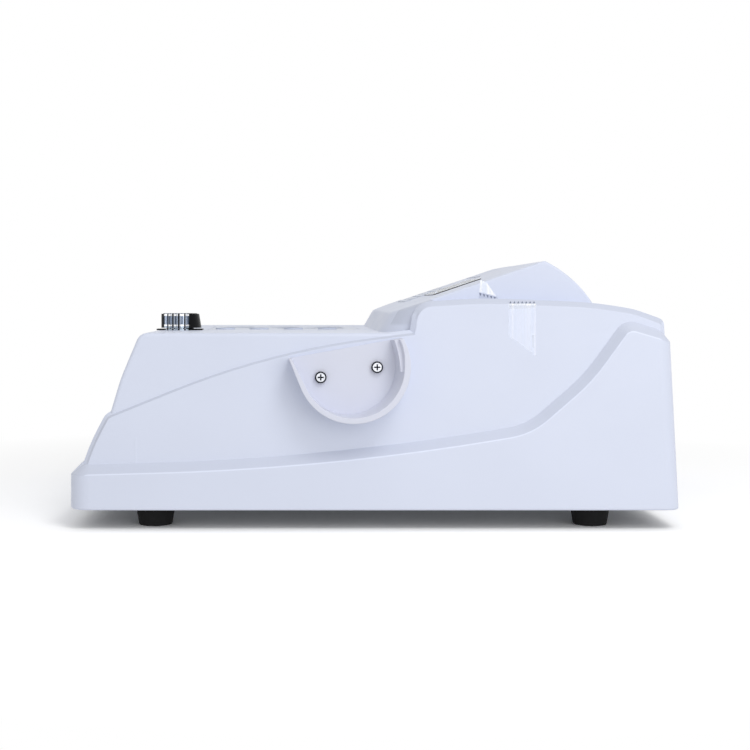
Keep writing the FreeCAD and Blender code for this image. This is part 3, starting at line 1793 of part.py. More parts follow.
def make_dial():
    """The fluted push dial on the deck, with its collar and encoder."""
    bore = "bush_radius+3.4"
    ring = "collar_ring_radius"
    ring_top = "collar_thick+collar_ring_tall"
    flange = [
        (bore, "0"),
        ("collar_seat_radius", "0"),
        ("collar_seat_radius", "collar_thick"),
        (ring, "collar_thick"),
        (ring, ring_top),
        (bore, ring_top),
    ]
    seat = turned("collar_seat", flange, "dial_x", "dial_y", "deck_top")
    bar = box(
        "collar_bar",
        ("dial_x-collar_reach", "dial_x+collar_reach"),
        ("dial_y-collar_bar_wide/2", "dial_y+collar_bar_wide/2"),
        ("deck_top", "deck_top+collar_thick"),
    )
    hole = rod("collar_bore", "z", bore, ("deck_top-1", "deck_top+4"), ("dial_x", "dial_y"))
    ears = cut("collar_ears", bar, [hole])
    keep(fuse("dial_collar", [seat, ears]), "dial_collar")

    body = doc.addObject("PartDesign::Body", "knob_body")
    skirt = "knob_radius-knob_rim"
    profile = [
        ("shaft_radius", "knob_hollow_deep"),
        (skirt, "knob_hollow_deep"),
        (skirt, "0"),
        ("knob_radius", "0"),
        ("knob_radius", "knob_tall-knob_edge"),
        ("knob_radius-knob_edge", "knob_tall"),
        ("0", "knob_tall"),
        ("0", "knob_tall-1.6"),
        ("shaft_radius", "knob_tall-1.6"),
    ]
    turn(body, "knob_turn", outline(body, "knob_profile", "XZ_Plane", profile))
    rib = [
        ("knob_radius-1", "-knob_rib_wide/2"),
        ("knob_radius+knob_rib_out", "-knob_rib_wide*0.3"),
        ("knob_radius+knob_rib_out", "knob_rib_wide*0.3"),
        ("knob_radius-1", "knob_rib_wide/2"),
    ]
    rib_pad = pad(body, "knob_rib", outline(body, "rib_outline", "XY_Plane", rib), "knob_tall-knob_edge")
    doc.recompute()
    pattern = body.newObject("PartDesign::PolarPattern", "knob_ribbing")
    pattern.Originals = [rib_pad]
    pattern.Axis = (origin_plane(body, "Z_Axis"), [""])
    pattern.Angle = 360
    bind(pattern, "Occurrences", "knob_ribs")
    body.Tip = pattern
    put(body, "dial_x", "dial_y", "knob_low")
    wedge = doc.addObject("Part::Cone", "knob_index_cone")
    bind(wedge, "Radius1", "index_radius_low")
    bind(wedge, "Radius2", "index_radius_top")
    bind(wedge, "Height", "knob_tall-knob_edge")
    bind(wedge, "Angle", "index_turn")
    wedge.Placement = FreeCAD.Placement(Vector(), FreeCAD.Rotation(Vector(0, 0, 1), 1))
    put(wedge, "dial_x", "dial_y", "knob_low")
    bind(wedge, "Placement.Rotation.Angle", "index_start")
    centre = ("dial_x", "dial_y")
    core = rod("knob_index_core", "z", "knob_radius-1", ("knob_low-1", "knob_low+knob_tall+1"), centre)
    index = cut("knob_index", wedge, [core])
    keep(fuse("dial_knob", [body, index]), "dial_knob")

    shaft_low = "deck_under-encoder_tall+4.6"
    shaft = [
        ("0", shaft_low),
        ("shaft_radius-pin_gap", shaft_low),
        ("shaft_radius-pin_gap", "knob_low+knob_tall-1.6"),
        ("0", "knob_low+knob_tall-1.6"),
    ]
    keep(turned("encoder_shaft", shaft, "dial_x", "dial_y", "0"), "encoder_shaft")
    plunger = [
        ("0", f"{shaft_low}-plunger_thick"),
        ("plunger_radius", f"{shaft_low}-plunger_thick"),
        ("plunger_radius", shaft_low),
        ("0", shaft_low),
    ]
    keep(turned("switch_plunger", plunger, "dial_x", "dial_y", "0"), "switch_plunger")

    case = box(
        "encoder_box",
        ("dial_x-encoder_side/2", "dial_x+encoder_side/2"),
        ("dial_y-encoder_side/2", "dial_y+encoder_side/2"),
        ("deck_under-encoder_tall", "deck_under"),
    )
    centre = ("dial_x", "dial_y")
    bush = rod("encoder_bush", "z", "bush_radius", ("deck_under", "knob_low+1.2"), centre)
    bore = rod("encoder_bore", "z", "shaft_radius", ("deck_under-6", "knob_low+2"), centre)
    room = rod(
        "encoder_room",
        "z",
        "plunger_radius+0.2",
        ("deck_under-encoder_tall+1.5", "deck_under-4"),
        centre,
    )
    encoder = cut("encoder_body", fuse("encoder_whole", [case, bush]), [bore, room])
    keep(encoder, "encoder_body")
    nut = hexagon("encoder_nut_blank", "bush_radius+2.9", ("deck_top", "deck_top+2"), "dial_x", "dial_y")
    nut_bore = rod(
        "encoder_nut_bore", "z", "bush_radius+pin_gap", ("deck_top-1", "deck_top+3"), centre
    )
    keep(cut("encoder_nut", nut, [nut_bore]), "encoder_nut")


# Display and keypad on the slope


def make_display():
    low = "-window_below_apex"
    high = "-window_below_apex+window_long"
    near = "window_y-window_wide/2"
    far = "window_y+window_wide/2"
    glass = slope_box(
        "window_glass", (low, high), (near, far), ("window_proud-window_thick", "window_proud")
    )
    keep(glass, "display_window")
    module = slope_box(
        "module_case",
        (f"{low}+1", f"{high}-1"),
        (f"{near}-module_side", f"{far}-1"),
        ("-shell_wall-module_thick", "-shell_wall"),
    )
    screen = slope_box(
        "module_screen",
        (f"{low}+view_border+0.5", f"{high}-view_border-0.5"),
        (f"{near}+view_border+0.5", f"{far}-view_border-0.5"),
        ("-shell_wall-0.01", "window_proud-window_thick-0.3"),
    )
    keep(fuse("display_module", [module, screen]), "display_module")
    board = slope_box(
        "display_sheet",
        (f"{low}+3", f"{high}-3"),
        (f"{near}-module_side+4", f"{far}-5"),
        (
            "-shell_wall-module_thick-display_board_thick",
            "-shell_wall-module_thick",
        ),
    )
    under = "-shell_wall-module_thick-display_board_thick"
    chips = [board]
    for i, (along, across, side) in enumerate(((8, 18, 12), (18, 40, 9), (10, 62, 7))):
        chips.append(
            slope_box(
                f"display_chip_{i}",
                (f"{low}+{along}", f"{low}+{along}+{side}"),
                (f"{near}+{across}", f"{near}+{across}+{side}"),
                (f"{under}-1.6", under),
            )
        )
    keep(fuse("display_board", chips), "display_board")


def make_keypad():
    """A membrane keypad of three rows of four slightly raised keys, in its seat on the slope."""
    low = "-keypad_below_apex"
    near = "printer_y-keypad_wide/2"
    depth = ("-keypad_thick", "0")
    sheet_part = slope_box(
        "keypad_sheet",
        (low, f"{low}+keypad_long"),
        (near, "printer_y+keypad_wide/2"),
        depth,
    )
    pieces = [sheet_part]
    for row in range(3):
        for column in range(4):
            u = f"{low}+keypad_long*({row}+0.5)/3"
            v = f"{near}+keypad_wide*({column}+0.5)/4"
            pieces.append(
                slope_box(
                    f"key_{row}_{column}",
                    (f"{u}-key_side/2", f"{u}+key_side/2"),
                    (f"{v}-key_side*0.8", f"{v}+key_side*0.8"),
                    ("0", "key_rise"),
                )
            )
    keep(fuse("keypad_membrane", pieces), "keypad_membrane")


# Printer


def hinge_lug(name_y, low_z):
    """A lid barrel between two y numbers, with its web up to the lid."""
    x = value("hinge_x")
    z = value("hinge_z")
    barrel = value("hinge_barrel")
    eye = Part.makeCylinder(barrel, name_y[1] - name_y[0], Vector(x, name_y[0], z), Vector(0, 1, 0))
    web = block((x - barrel, x), name_y, (z, low_z))
    return eye.fuse(web)


def platen_centre():
    """The platen roller's axis, as x and z."""
    x = value("lid_edge_x+platen_behind_lid_edge")
    return x, slope_high(x) - value("platen_down")


def make_printer_lid():
    """The lid follows the console over its apex, and carries the platen roller between two cheeks."""
    half = value("lid_half_wide")
    middle = value("printer_y")
    thick = value("lid_thick")
    wide = value("head_half_wide")
    skin = head_block(0, wide).cut(head_block(thick, wide))
    low = value("hinge_z") - value("hinge_barrel") * 0.2
    zone = block(
        (value("lid_edge_x"), value("rear_x")),
        (middle - half, middle + half),
        (low, value("apex_z") + 5),
    )
    lid = skin.common(zone)
    barrel_half = half - 9 - value("fit_gap")
    web_top = low + 3
    lid = lid.fuse(hinge_lug((middle - barrel_half, middle + barrel_half), web_top))
    roller_x, roller_z = platen_centre()
    cheek_size = value("platen_shaft") + 2
    filled = head_block(thick - 0.5, wide)
    for side in (-1, 1):
        inner = middle + side * (value("platen_half") + 1)
        outer = middle + side * (value("platen_half") + 3.5)
        span = (min(inner, outer), max(inner, outer))
        cheek = block(
            (roller_x - cheek_size, roller_x + cheek_size), span, (roller_z - cheek_size, 200)
        )
        lid = lid.fuse(cheek.common(filled))
        hole = Part.makeCylinder(
            value("platen_shaft+pin_gap"), 20, Vector(roller_x, span[0] - 5, roller_z), Vector(0, 1, 0)
        )
        lid = lid.cut(hole)
    pin_bore = Part.makeCylinder(
        value("hinge_pin+pin_gap"),
        2 * half,
        Vector(value("hinge_x"), middle - half, value("hinge_z")),
        Vector(0, 1, 0),
    )
    lid = lid.cut(pin_bore)
    ear_room = value("hinge_barrel") + value("lid_gap")
    for side in (-1, 1):
        outer = middle + side * (half + 1)
        inner = middle + side * (half - 9 - value("fit_gap"))
        clearance = Part.makeCylinder(
            ear_room,
            abs(outer - inner),
            Vector(value("hinge_x"), min(outer, inner), value("hinge_z")),
            Vector(0, 1, 0),
        )
        lid = lid.cut(clearance)
    item = doc.addObject("Part::Feature", "printer_lid")
    item.Shape = lid.removeSplitter()
    keep(item, "printer_lid")
    keep(
        rod(
            "lid_hinge_pin",
            "y",
            "hinge_pin",
            ("printer_y-lid_half_wide+1.2", "printer_y+lid_half_wide-1.2"),
            ("hinge_x", "hinge_z"),
        ),
        "lid_hinge_pin",
    )


def gear(teeth, thick, bore, start_turn):
    """A small spur gear about the Y axis with straight-sided teeth."""
    module = value("gear_module")
    pitch_radius = teeth * module / 2
    root = pitch_radius - 1.05 * module
    tip = pitch_radius + 0.75 * module
    step = 2 * math.pi / teeth
    blank = Part.makeCylinder(root, thick, Vector(0, 0, 0), Vector(0, 1, 0))
    low_half = 0.26 * step
    high_half = 0.12 * step
    for i in range(teeth):
        turn_angle = start_turn + i * step
        corners = [
            (root - 0.3, -low_half),
            (tip, -high_half),
            (tip, high_half),
            (root - 0.3, low_half),
        ]
        ring = [
            Vector(r * math.cos(turn_angle + a), 0, r * math.sin(turn_angle + a))
            for r, a in corners
        ]
        tooth = Part.Face(Part.makePolygon(ring + ring[:1])).extrude(Vector(0, thick, 0))
        blank = blank.fuse(tooth)
    hole = Part.makeCylinder(bore, thick + 2, Vector(0, -1, 0), Vector(0, 1, 0))
    return blank.cut(hole).removeSplitter()


def gear_centres():
    """The two gears' axes, as x and z: the platen's, then the motor's below it."""
    roller_x, roller_z = platen_centre()
    teeth = value("platen_teeth+motor_teeth")
    distance = teeth * value("gear_module") / 2
    lean = math.radians(-62)
    return (roller_x, roller_z), (
        roller_x + distance * math.cos(lean),
        roller_z + distance * math.sin(lean),
    ), lean


def make_platen():
    (x, z), _, lean = gear_centres()
    middle = value("printer_y")
    half = value("platen_half")
    rubber = Part.makeCylinder(
        value("platen_radius"), 2 * half, Vector(x, middle - half, z), Vector(0, 1, 0)
    )
    reach = half + 4.2 + value("gear_thick")
    shaft = Part.makeCylinder(
        value("platen_shaft"), reach + half + 4.2, Vector(x, middle - half - 4.2, z), Vector(0, 1, 0)
    )
    roller = doc.addObject("Part::Feature", "platen_roller")
    roller.Shape = rubber.fuse(shaft)
    keep(roller, "platen_roller")
    wheel = gear(int(value("platen_teeth")), value("gear_thick"), value("platen_shaft"), lean)
    wheel.translate(Vector(x, middle + half + 4.2, z))
    item = doc.addObject("Part::Feature", "platen_gear")
    item.Shape = wheel
    keep(item, "platen_gear")


def make_feed_motor():
    """The stepper beside the paper bucket, with its pinion inside."""
    _, (x, z), lean = gear_centres()
    middle = value("printer_y")
    half = value("platen_half")
    pinion_y = middle + half + 4.2
    teeth = int(value("motor_teeth"))
    facing = lean + math.pi
    pinion = gear(teeth, value("gear_thick"), 1.0, facing + math.pi / teeth)
    pinion.translate(Vector(x, pinion_y, z))
    wall = middle + value("lid_half_wide+lid_gap")
    outside = wall + value("bucket_wall")
    shaft = Part.makeCylinder(
        1.0, outside + 6 - pinion_y, Vector(x, pinion_y, z), Vector(0, 1, 0)
    )
    item = doc.addObject("Part::Feature", "motor_pinion")
    item.Shape = pinion.fuse(shaft).removeSplitter()
    keep(item, "motor_pinion")
    can = Part.makeCylinder(
        value("feed_motor_radius"), value("feed_motor_long"), Vector(x, outside, z), Vector(0, 1, 0)
    )
    hole = Part.makeCylinder(1.0 + value("pin_gap"), 7, Vector(x, outside - 0.5, z), Vector(0, 1, 0))
    motor = doc.addObject("Part::Feature", "feed_motor")
    motor.Shape = can.cut(hole)
    keep(motor, "feed_motor")


def make_bucket():
    """The open box under the lid that holds the paper roll; its rim meets the console's inside."""
    wall = value("bucket_wall")
    middle = value("printer_y")
    half = value("lid_half_wide+lid_gap")
    start = value("bucket_x")
    end = start + value("bucket_long")
    low = value("bucket_low")
    inside_of_shell = head_block(value("shell_wall"), value("head_half_wide"))
    across = (middle - half - wall, middle + half + wall)
    square_top = value("bucket_square_top")
    below = block((start, end), across, (low, square_top))
    above = block((start, end), across, (square_top - 1, value("apex_z")))
    outer = below.fuse(above.common(inside_of_shell))
    inner = block(
        (start + wall, end - wall), (middle - half, middle + half), (low + wall, value("apex_z"))
    )
    bucket = outer.cut(inner)
    roll_x = value("roll_x")
    roll_z = value("roll_high")
    slot = value("spindle_radius") + value("fit_gap")
    for side in (-1, 1):
        y = middle + side * (half + wall / 2)
        span = (y - wall, y + wall)
        eye = Part.makeCylinder(slot, 2 * wall, Vector(roll_x, span[0], roll_z), Vector(0, 1, 0))
        lane = block((roll_x - slot, roll_x + slot), span, (roll_z, value("apex_z")))
        bucket = bucket.cut(eye.fuse(lane))
    _, (motor_x, motor_z), _ = gear_centres()
    motor_hole = Part.makeCylinder(
        1.4, 20, Vector(motor_x, middle + half - 5, motor_z), Vector(0, 1, 0)
    )
    bucket = bucket.cut(motor_hole)
    ledge_top = value("ledge_top")
    ledge = block(
        (start + wall / 2, value("lid_edge_x+ledge_lap")),
        (middle - value("platen_half"), middle + value("platen_half")),
        (ledge_top - value("ledge_thick"), ledge_top),
    )
    bucket = bucket.fuse(ledge)
    item = doc.addObject("Part::Feature", "printer_bucket")
    item.Shape = bucket.removeSplitter()
    keep(item, "printer_bucket")


def make_thermal_head():
    """The print head stands on the bucket's ledge and leans on the platen roller."""
    x, z = platen_centre()
    middle = value("printer_y")
    half = value("platen_half") - 1
    face = x - value("platen_radius+head_gap")
    back = face - value("head_plate_thick")
    low = value("ledge_top")
    plate = block((back, face), (middle - half, middle + half), (low, z + value("head_plate_rise")))
    fin = block(
        (back - value("head_fin_thick"), back), (middle - half + 4, middle + half - 4), (low + 2, z - 2)
    )
    item = doc.addObject("Part::Feature", "thermal_head")
    item.Shape = plate.fuse(fin).removeSplitter()
    keep(item, "thermal_head")


def make_paper():
    """The paper roll on its drop-in spindle."""
    half = "28.5"
    centre = ("roll_x", "roll_high")
    roll = rod(
        "paper_wound", "y", "roll_radius", (f"printer_y-{half}", f"printer_y+{half}"), centre
    )
    core = rod("paper_core", "y", "roll_core", (f"printer_y-{half}-1", f"printer_y+{half}+1"), centre)
    keep(cut("paper_roll", roll, [core]), "paper_roll")
    reach = "lid_half_wide+lid_gap+bucket_wall-0.4"
    pin = rod(
        "spindle_rod", "y", "spindle_radius", (f"printer_y-({reach})", f"printer_y+{reach}"), centre
    )
    hub = rod(
        "spindle_hub",
        "y",
        "roll_core-pin_gap",
        (f"printer_y-{half}-0.5", f"printer_y+{half}+0.5"),
        centre,
    )
    keep(fuse("paper_spindle", [pin, hub]), "paper_spindle")


# Electronics


def board_corners(x, y, long, wide):
    inset = "board_hole_inset"
    return [
        (cx, cy)
        for cx in (f"{x}+{inset}", f"{x}+{long}-{inset}")
        for cy in (f"{y}+{inset}", f"{y}+{wide}-{inset}")
    ]


def make_standoffs(label, corners):
    posts = []
    for i, (x, y) in enumerate(corners):
        post = hexagon(f"{label}_{i}", "standoff_radius", ("base_top", "board_low"), x, y)
        posts.append(post)
    keep(group(label, posts), label)


def fitted_board(label, x, y, long, wide, fittings):
    """A circuit board with blocks on it: each fitting is x, y, long, wide and tall."""
    top = "board_low+board_thick"
    sheet_part = box(
        label + "_sheet", (x, f"{x}+{long}"), (y, f"{y}+{wide}"), ("board_low", top)
    )
    pieces = [sheet_part]
    for i, (dx, dy, fl, fw, ft) in enumerate(fittings):
        pieces.append(
            box(
                f"{label}_fitting_{i}",
                (f"{x}+{dx}", f"{x}+{dx}+{fl}"),
                (f"{y}+{dy}", f"{y}+{dy}+{fw}"),
                (top, f"{top}+{ft}"),
            )
        )
    keep(fuse(label, pieces), label)


def make_boards():
    main_corners = board_corners("board_x", "board_y", "board_long", "board_wide")
    make_standoffs("board_standoffs", main_corners)
    chips = [
        (58, 44, 24, 24, 2.4),
        (16, 60, 14, 10, 2),
        (96, 52, 12, 18, 2),
        ("ribbon_from_front", "ribbon_y-board_y", 5, "ribbon_wide", "ribbon_socket_tall"),
        (20, 84, 40, 7, 9),
        (110, 20, 10, 10, 12),
    ]
    fitted_board("main_board", "board_x", "board_y", "board_long", "board_wide", chips)
    supply_corners = board_corners("supply_x", "supply_y", "supply_long", "supply_wide")
    make_standoffs("supply_standoffs", supply_corners)
    supply = [
        (14, 14, 28, 32, 26),
        (50, 12, 18, 18, 28),
        (74, 10, 16, 12, 16),
        (52, 36, 34, 4, 24),
        (14, 50, 26, 7, 10),
    ]
    fitted_board("power_supply", "supply_x", "supply_y", "supply_long", "supply_wide", supply)
    screws = []
    for i, (x, y) in enumerate(main_corners + supply_corners):
        seat = "board_low+board_thick"
        screws.append(rod(f"board_screw_{i}", "z", "2.6", (seat, f"{seat}+1.8"), (x, y)))
    keep(group("board_screws", screws), "board_screws")


def make_ribbon():
    """The flat ribbon from the display board down to the main board."""
    body = doc.addObject("PartDesign::Body", "display_ribbon")
    low = "board_low+board_thick+ribbon_socket_tall"
    end = "ribbon_x+ribbon_thick"
    points = [
        ("ribbon_x", low),
        (end, low),
        (end, "ribbon_top+ribbon_thick*tan(slope_angle)"),
        ("ribbon_x", "ribbon_top"),
    ]
    pad(body, "ribbon_pad", outline(body, "ribbon_outline", "XZ_Plane", points), "ribbon_wide")
    put(body, "0", "ribbon_y+ribbon_wide", "0")
    keep(body, "display_ribbon")


# Rear panel and sockets


def make_rear_panel():
    border = "rear_frame_border"
    plate = box(
        "rear_sheet",
        ("panel_face_x-rear_panel_thick", "panel_face_x"),
        (f"mid_y-rear_window_half-{border}", f"mid_y+rear_window_half+{border}"),
        (f"rear_window_low-{border}", f"rear_window_high+{border}"),
    )
    through = ("panel_face_x-rear_panel_thick-1", "panel_face_x+1")
    gap = "fit_gap"
    cuts = [
        box(
            "inlet_cutout",
            through,
            (f"inlet_y-inlet_wide/2-{gap}", f"inlet_y+inlet_wide/2+{gap}"),
            (f"inlet_low-{gap}", f"inlet_low+inlet_tall+{gap}"),
        ),
        box(
            "serial_cutout",
            through,
            ("serial_y-serial_cut_wide/2", "serial_y+serial_cut_wide/2"),
            ("port_high-serial_cut_tall/2", "port_high+serial_cut_tall/2"),
        ),
        box(
            "data_cutout",
            through,
            (f"data_y-data_side/2-{gap}", f"data_y+data_side/2+{gap}"),
            (f"port_high-data_side/2-{gap}", f"port_high+data_side/2+{gap}"),
        ),
    ]
    for i in range(9):
        y = f"mid_y-rear_window_half+12+{i}*6"
        cuts.append(
            box(
                f"rear_vent_{i}",
                through,
                (y, f"{y}+2.5"),
                ("rear_window_high-22", "rear_window_high-6"),
            )
        )
    for i, (y, z) in enumerate(rear_screw_texts()):
        cuts.append(rod(f"rear_hole_{i}", "x", "screw_radius+pin_gap", through, (y, z)))
    keep(cut("rear_panel", plate, cuts), "rear_panel")
    screws = [
        screw(
            f"rear_screw_{i}",
            "x",
            1,
            "screw_radius",
            "small_head_radius",
            "small_head_tall",
            "panel_face_x-rear_panel_thick",
            "panel_screw_long",
            (y, z),
        )
        for i, (y, z) in enumerate(rear_screw_texts())
    ]
    keep(group("rear_panel_screws", screws), "rear_panel_screws")


def make_inlet():
    """The mains inlet with its fuse drawer and rocker switch in one frame."""
    face = "panel_face_x+inlet_flange"
    back = "panel_face_x-inlet_deep"
    flange = box(
        "inlet_frame",
        ("panel_face_x", face),
        ("inlet_y-inlet_wide/2-3", "inlet_y+inlet_wide/2+3"),
        ("inlet_low-3", "inlet_low+inlet_tall+3"),
    )
    case = box(
        "inlet_case",
        (back, "panel_face_x"),
        ("inlet_y-inlet_wide/2", "inlet_y+inlet_wide/2"),
        ("inlet_low", "inlet_low+inlet_tall"),
    )
    socket_z = "inlet_low+2.5"
    socket = box(
        "inlet_socket",
        (f"{face}-socket_deep", f"{face}+1"),
        ("inlet_y-socket_wide/2", "inlet_y+socket_wide/2"),
        (socket_z, f"{socket_z}+socket_tall"),
    )
    drawer_z = f"{socket_z}+socket_tall+2.5"
    gap = "fit_gap"
    drawer_room = box(
        "drawer_room",
        (f"{face}-drawer_deep-{gap}", f"{face}+1"),
        (f"inlet_y-drawer_wide/2-{gap}", f"inlet_y+drawer_wide/2+{gap}"),
        (f"{drawer_z}-{gap}", f"{drawer_z}+drawer_tall+{gap}"),
    )
    rocker_z = f"{drawer_z}+drawer_tall+2.5"
    rocker_room = box(
        "rocker_room",
        (f"{face}-12", f"{face}+1"),
        (f"inlet_y-rocker_wide/2-{gap}", f"inlet_y+rocker_wide/2+{gap}"),
        (f"{rocker_z}-{gap}", f"{rocker_z}+rocker_tall+{gap}"),
    )
    whole = fuse("inlet_whole", [flange, case])
    keep(cut("mains_inlet", whole, [socket, drawer_room, rocker_room]), "mains_inlet")

    blades = []
    middle_z = f"{socket_z}+socket_tall/2"
    for i, (dy, dz) in enumerate((("-7", "-2"), ("7", "-2"), ("0", "2.6"))):
        blades.append(
            box(
                f"blade_{i}",
                (f"{face}-socket_deep", f"{face}-socket_deep+blade_long"),
                (f"inlet_y+{dy}-1", f"inlet_y+{dy}+1"),
                (f"{middle_z}+{dz}-2", f"{middle_z}+{dz}+2"),
            )
        )
    keep(group("inlet_blades", blades), "inlet_blades")

    drawer = box(
        "drawer_block",
        (f"{face}-drawer_deep", f"{face}+0.8"),
        ("inlet_y-drawer_wide/2", "inlet_y+drawer_wide/2"),
        (drawer_z, f"{drawer_z}+drawer_tall"),
    )
    trough = box(
        "drawer_trough",
        (f"{face}-drawer_deep+1.5", f"{face}-2"),
        ("inlet_y-drawer_wide/2+1.5", "inlet_y+drawer_wide/2-1.5"),
        (f"{drawer_z}+1", f"{drawer_z}+drawer_tall+1"),
    )
    grip = box(
        "drawer_grip",
        (f"{face}-0.4", f"{face}+1"),
        ("inlet_y-5", "inlet_y+5"),
        (f"{drawer_z}+drawer_tall-1.6", f"{drawer_z}+drawer_tall+1"),
    )
    keep(cut("fuse_drawer", drawer, [trough, grip]), "fuse_drawer")
    fuses = []
    for i, dy in enumerate(("-4", "4")):
        fuses.append(
            rod(
                f"fuse_{i}",
                "x",
                "2.5",
                (f"{face}-drawer_deep+1.8", f"{face}-2.3"),
                (f"inlet_y+{dy}", f"{drawer_z}+3.5"),
            )
        )
    keep(group("fuses", fuses), "fuses")
    make_rocker(face, rocker_z)


def make_rocker(face, rocker_z):
    """The switch rocker, a wedge that rests tilted to its off side."""
    body = doc.addObject("PartDesign::Body", "power_rocker")
    half = "(rocker_tall/2-0.9)"
    points = [
        ("-7", f"-{half}+1.5"),
        ("-7", f"{half}-1.5"),
        ("0", half),
        ("1.6", half),
        ("0.4", "0"),
        ("1.6", f"-{half}"),
        ("0", f"-{half}"),
    ]
    sketch = outline(body, "rocker_outline", "XZ_Plane", points)
    item = pad(body, "rocker_pad", sketch, "rocker_wide-0.4")
    item.Midplane = True
    body.Placement = FreeCAD.Placement(Vector(), FreeCAD.Rotation(Vector(0, 1, 0), 1))
    bind(body, "Placement.Rotation.Angle", "rocker_tilt")
    put(body, f"{face}-3", "inlet_y", f"{rocker_z}+rocker_tall/2")
    keep(body, "power_rocker")


def make_ports():
    """The serial and data sockets beside the inlet."""
    face = "panel_face_x"
    serial_y = "serial_y"
    flange = box(
        "serial_flange",
        (face, f"{face}+1"),
        (f"{serial_y}-serial_wide/2", f"{serial_y}+serial_wide/2"),
        ("port_high-serial_tall/2", "port_high+serial_tall/2"),
    )
    shell = box(
        "serial_shell",
        (f"{face}-serial_shell_in", f"{face}+serial_shell_out"),
        (f"{serial_y}-serial_shell_wide/2", f"{serial_y}+serial_shell_wide/2"),
        ("port_high-serial_shell_tall/2", "port_high+serial_shell_tall/2"),
    )
    posts = [
        rod(f"jack_post_{i}", "x", "2.4", (f"{face}+1", f"{face}+5"), (f"{serial_y}{dy}", "port_high"))
        for i, dy in enumerate(("-12.5", "+12.5"))
    ]
    holes = []
    for row, count in ((0, 5), (1, 4)):
        for i in range(count):
            y = f"{serial_y}+({i}-{(count - 1) / 2})*2.7"
            z = f"port_high+1.4-2.8*{row}"
            span = (f"{face}+1", f"{face}+serial_shell_out+1")
            holes.append(rod(f"serial_hole_{row}_{i}", "x", "0.6", span, (y, z)))
    solid = fuse("serial_solid", [flange, shell] + posts)
    keep(cut("serial_socket", solid, holes), "serial_socket")
    data_y = "data_y"
    half = "data_side/2"
    can = box(
        "data_can",
        (f"{face}-12", f"{face}+0.6"),
        (f"{data_y}-{half}", f"{data_y}+{half}"),
        (f"port_high-{half}", f"port_high+{half}"),
    )
    mouth = box(
        "data_mouth",
        (f"{face}-9", f"{face}+1"),
        (f"{data_y}-{half}+1.4", f"{data_y}+{half}-1.4"),
        (f"port_high-{half}+1.4", f"port_high+{half}-1.4"),
    )
    tongue = box(
        "data_tongue",
        (f"{face}-9", f"{face}-1"),
        (f"{data_y}-2.8", f"{data_y}+2.8"),
        ("port_high-1.6", "port_high+1.6"),
    )
    rim = box(
        "data_rim",
        (face, f"{face}+0.6"),
        (f"{data_y}-{half}-1.5", f"{data_y}+{half}+1.5"),
        (f"port_high-{half}-1.5", f"port_high+{half}+1.5"),
    )
    can_cut = cut("data_open", fuse("data_solid", [can, rim]), [mouth])
    keep(fuse("data_socket", [can_cut, tongue]), "data_socket")


def write_parts():
    """Checks every object and sub-part, then writes one file for each sub-part."""
    doc.recompute()
    for item in doc.Objects:
        if "Invalid" in item.State or "Error" in item.State:
            raise ValueError(f"{item.Name} failed: {item.State}")
    os.makedirs("parts", exist_ok=True)
    for item in sub_parts:
        shape = item.Shape
        if shape.isNull() or not shape.isValid() or not shape.Solids:
            raise ValueError(item.Label + " has no valid shape")
        shape.exportStep(f"parts/{item.Label}.step")
        print(item.Label, len(shape.Solids), round(shape.Volume))


def main():
    fill_sheet()
    make_housing()
    make_base_plate()
    make_feet()
    make_foot_fasteners()
    make_base_screws()
    make_pipette_rest()
    make_rest_fasteners()
    make_well_panel()
    make_panel_screws()
    make_measuring_block()
    make_incubation_block()
    make_reagent_block()
    make_heater()
    make_posts()
    make_optics()
    make_probe()
    make_stirrer()
    make_dial()
    make_display()
    make_keypad()
    make_printer_lid()
    make_platen()
    make_feed_motor()
    make_bucket()
    make_thermal_head()
    make_paper()
    make_boards()
    make_ribbon()
    make_rear_panel()
    make_inlet()
    make_ports()
    write_parts()


main()
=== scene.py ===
"""A bench coagulation analyzer, dressed for one picture and for views from all sides."""

import math

import bmesh
import bpy
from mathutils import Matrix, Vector


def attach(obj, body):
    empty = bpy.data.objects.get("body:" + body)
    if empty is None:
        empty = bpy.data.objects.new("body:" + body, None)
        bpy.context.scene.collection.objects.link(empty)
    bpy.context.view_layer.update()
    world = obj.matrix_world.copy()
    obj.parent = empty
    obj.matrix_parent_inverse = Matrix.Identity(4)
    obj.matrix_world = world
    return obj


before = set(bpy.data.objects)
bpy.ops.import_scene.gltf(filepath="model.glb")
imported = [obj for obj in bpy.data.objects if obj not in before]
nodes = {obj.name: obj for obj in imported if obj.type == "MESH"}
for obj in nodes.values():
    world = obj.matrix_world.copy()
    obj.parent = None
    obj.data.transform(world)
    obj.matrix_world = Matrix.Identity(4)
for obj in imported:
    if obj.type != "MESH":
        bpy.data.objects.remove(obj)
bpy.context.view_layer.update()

MM = 0.001


def mm(*numbers):
    """Millimetres as metres."""
    return tuple(n * MM for n in numbers)


def srgb(red, green, blue):
    """A colour given on the usual 0 to 255 scale, as a linear one."""
    out = []
    for part in (red, green, blue):
        level = part / 255
        out.append(level / 12.92 if level <= 0.04045 else ((level + 0.055) / 1.055) ** 2.4)
    return (*out, 1.0)


def shade(colour, factor):
    """A colour made darker or paler."""
    return (colour[0] * factor, colour[1] * factor, colour[2] * factor, 1.0)


# Directions: inward is away from the near side, which the camera faces.

REARWARD = Vector((1.0, 0.0, 0.0))
INWARD = Vector((0.0, 1.0, 0.0))
UPWARD = Vector((0.0, 0.0, 1.0))

# Places on the object that the looks follow, as the CAD has them, in metres.

SLOPE_TILT = math.radians(18.6)
SLOPE_APEX = Vector(mm(120.65, 0.0, 183.5))
SLOPE_ALONG = Vector((math.cos(SLOPE_TILT), 0.0, math.sin(SLOPE_TILT)))
SLOPE_UP = Vector((-math.sin(SLOPE_TILT), 0.0, math.cos(SLOPE_TILT)))

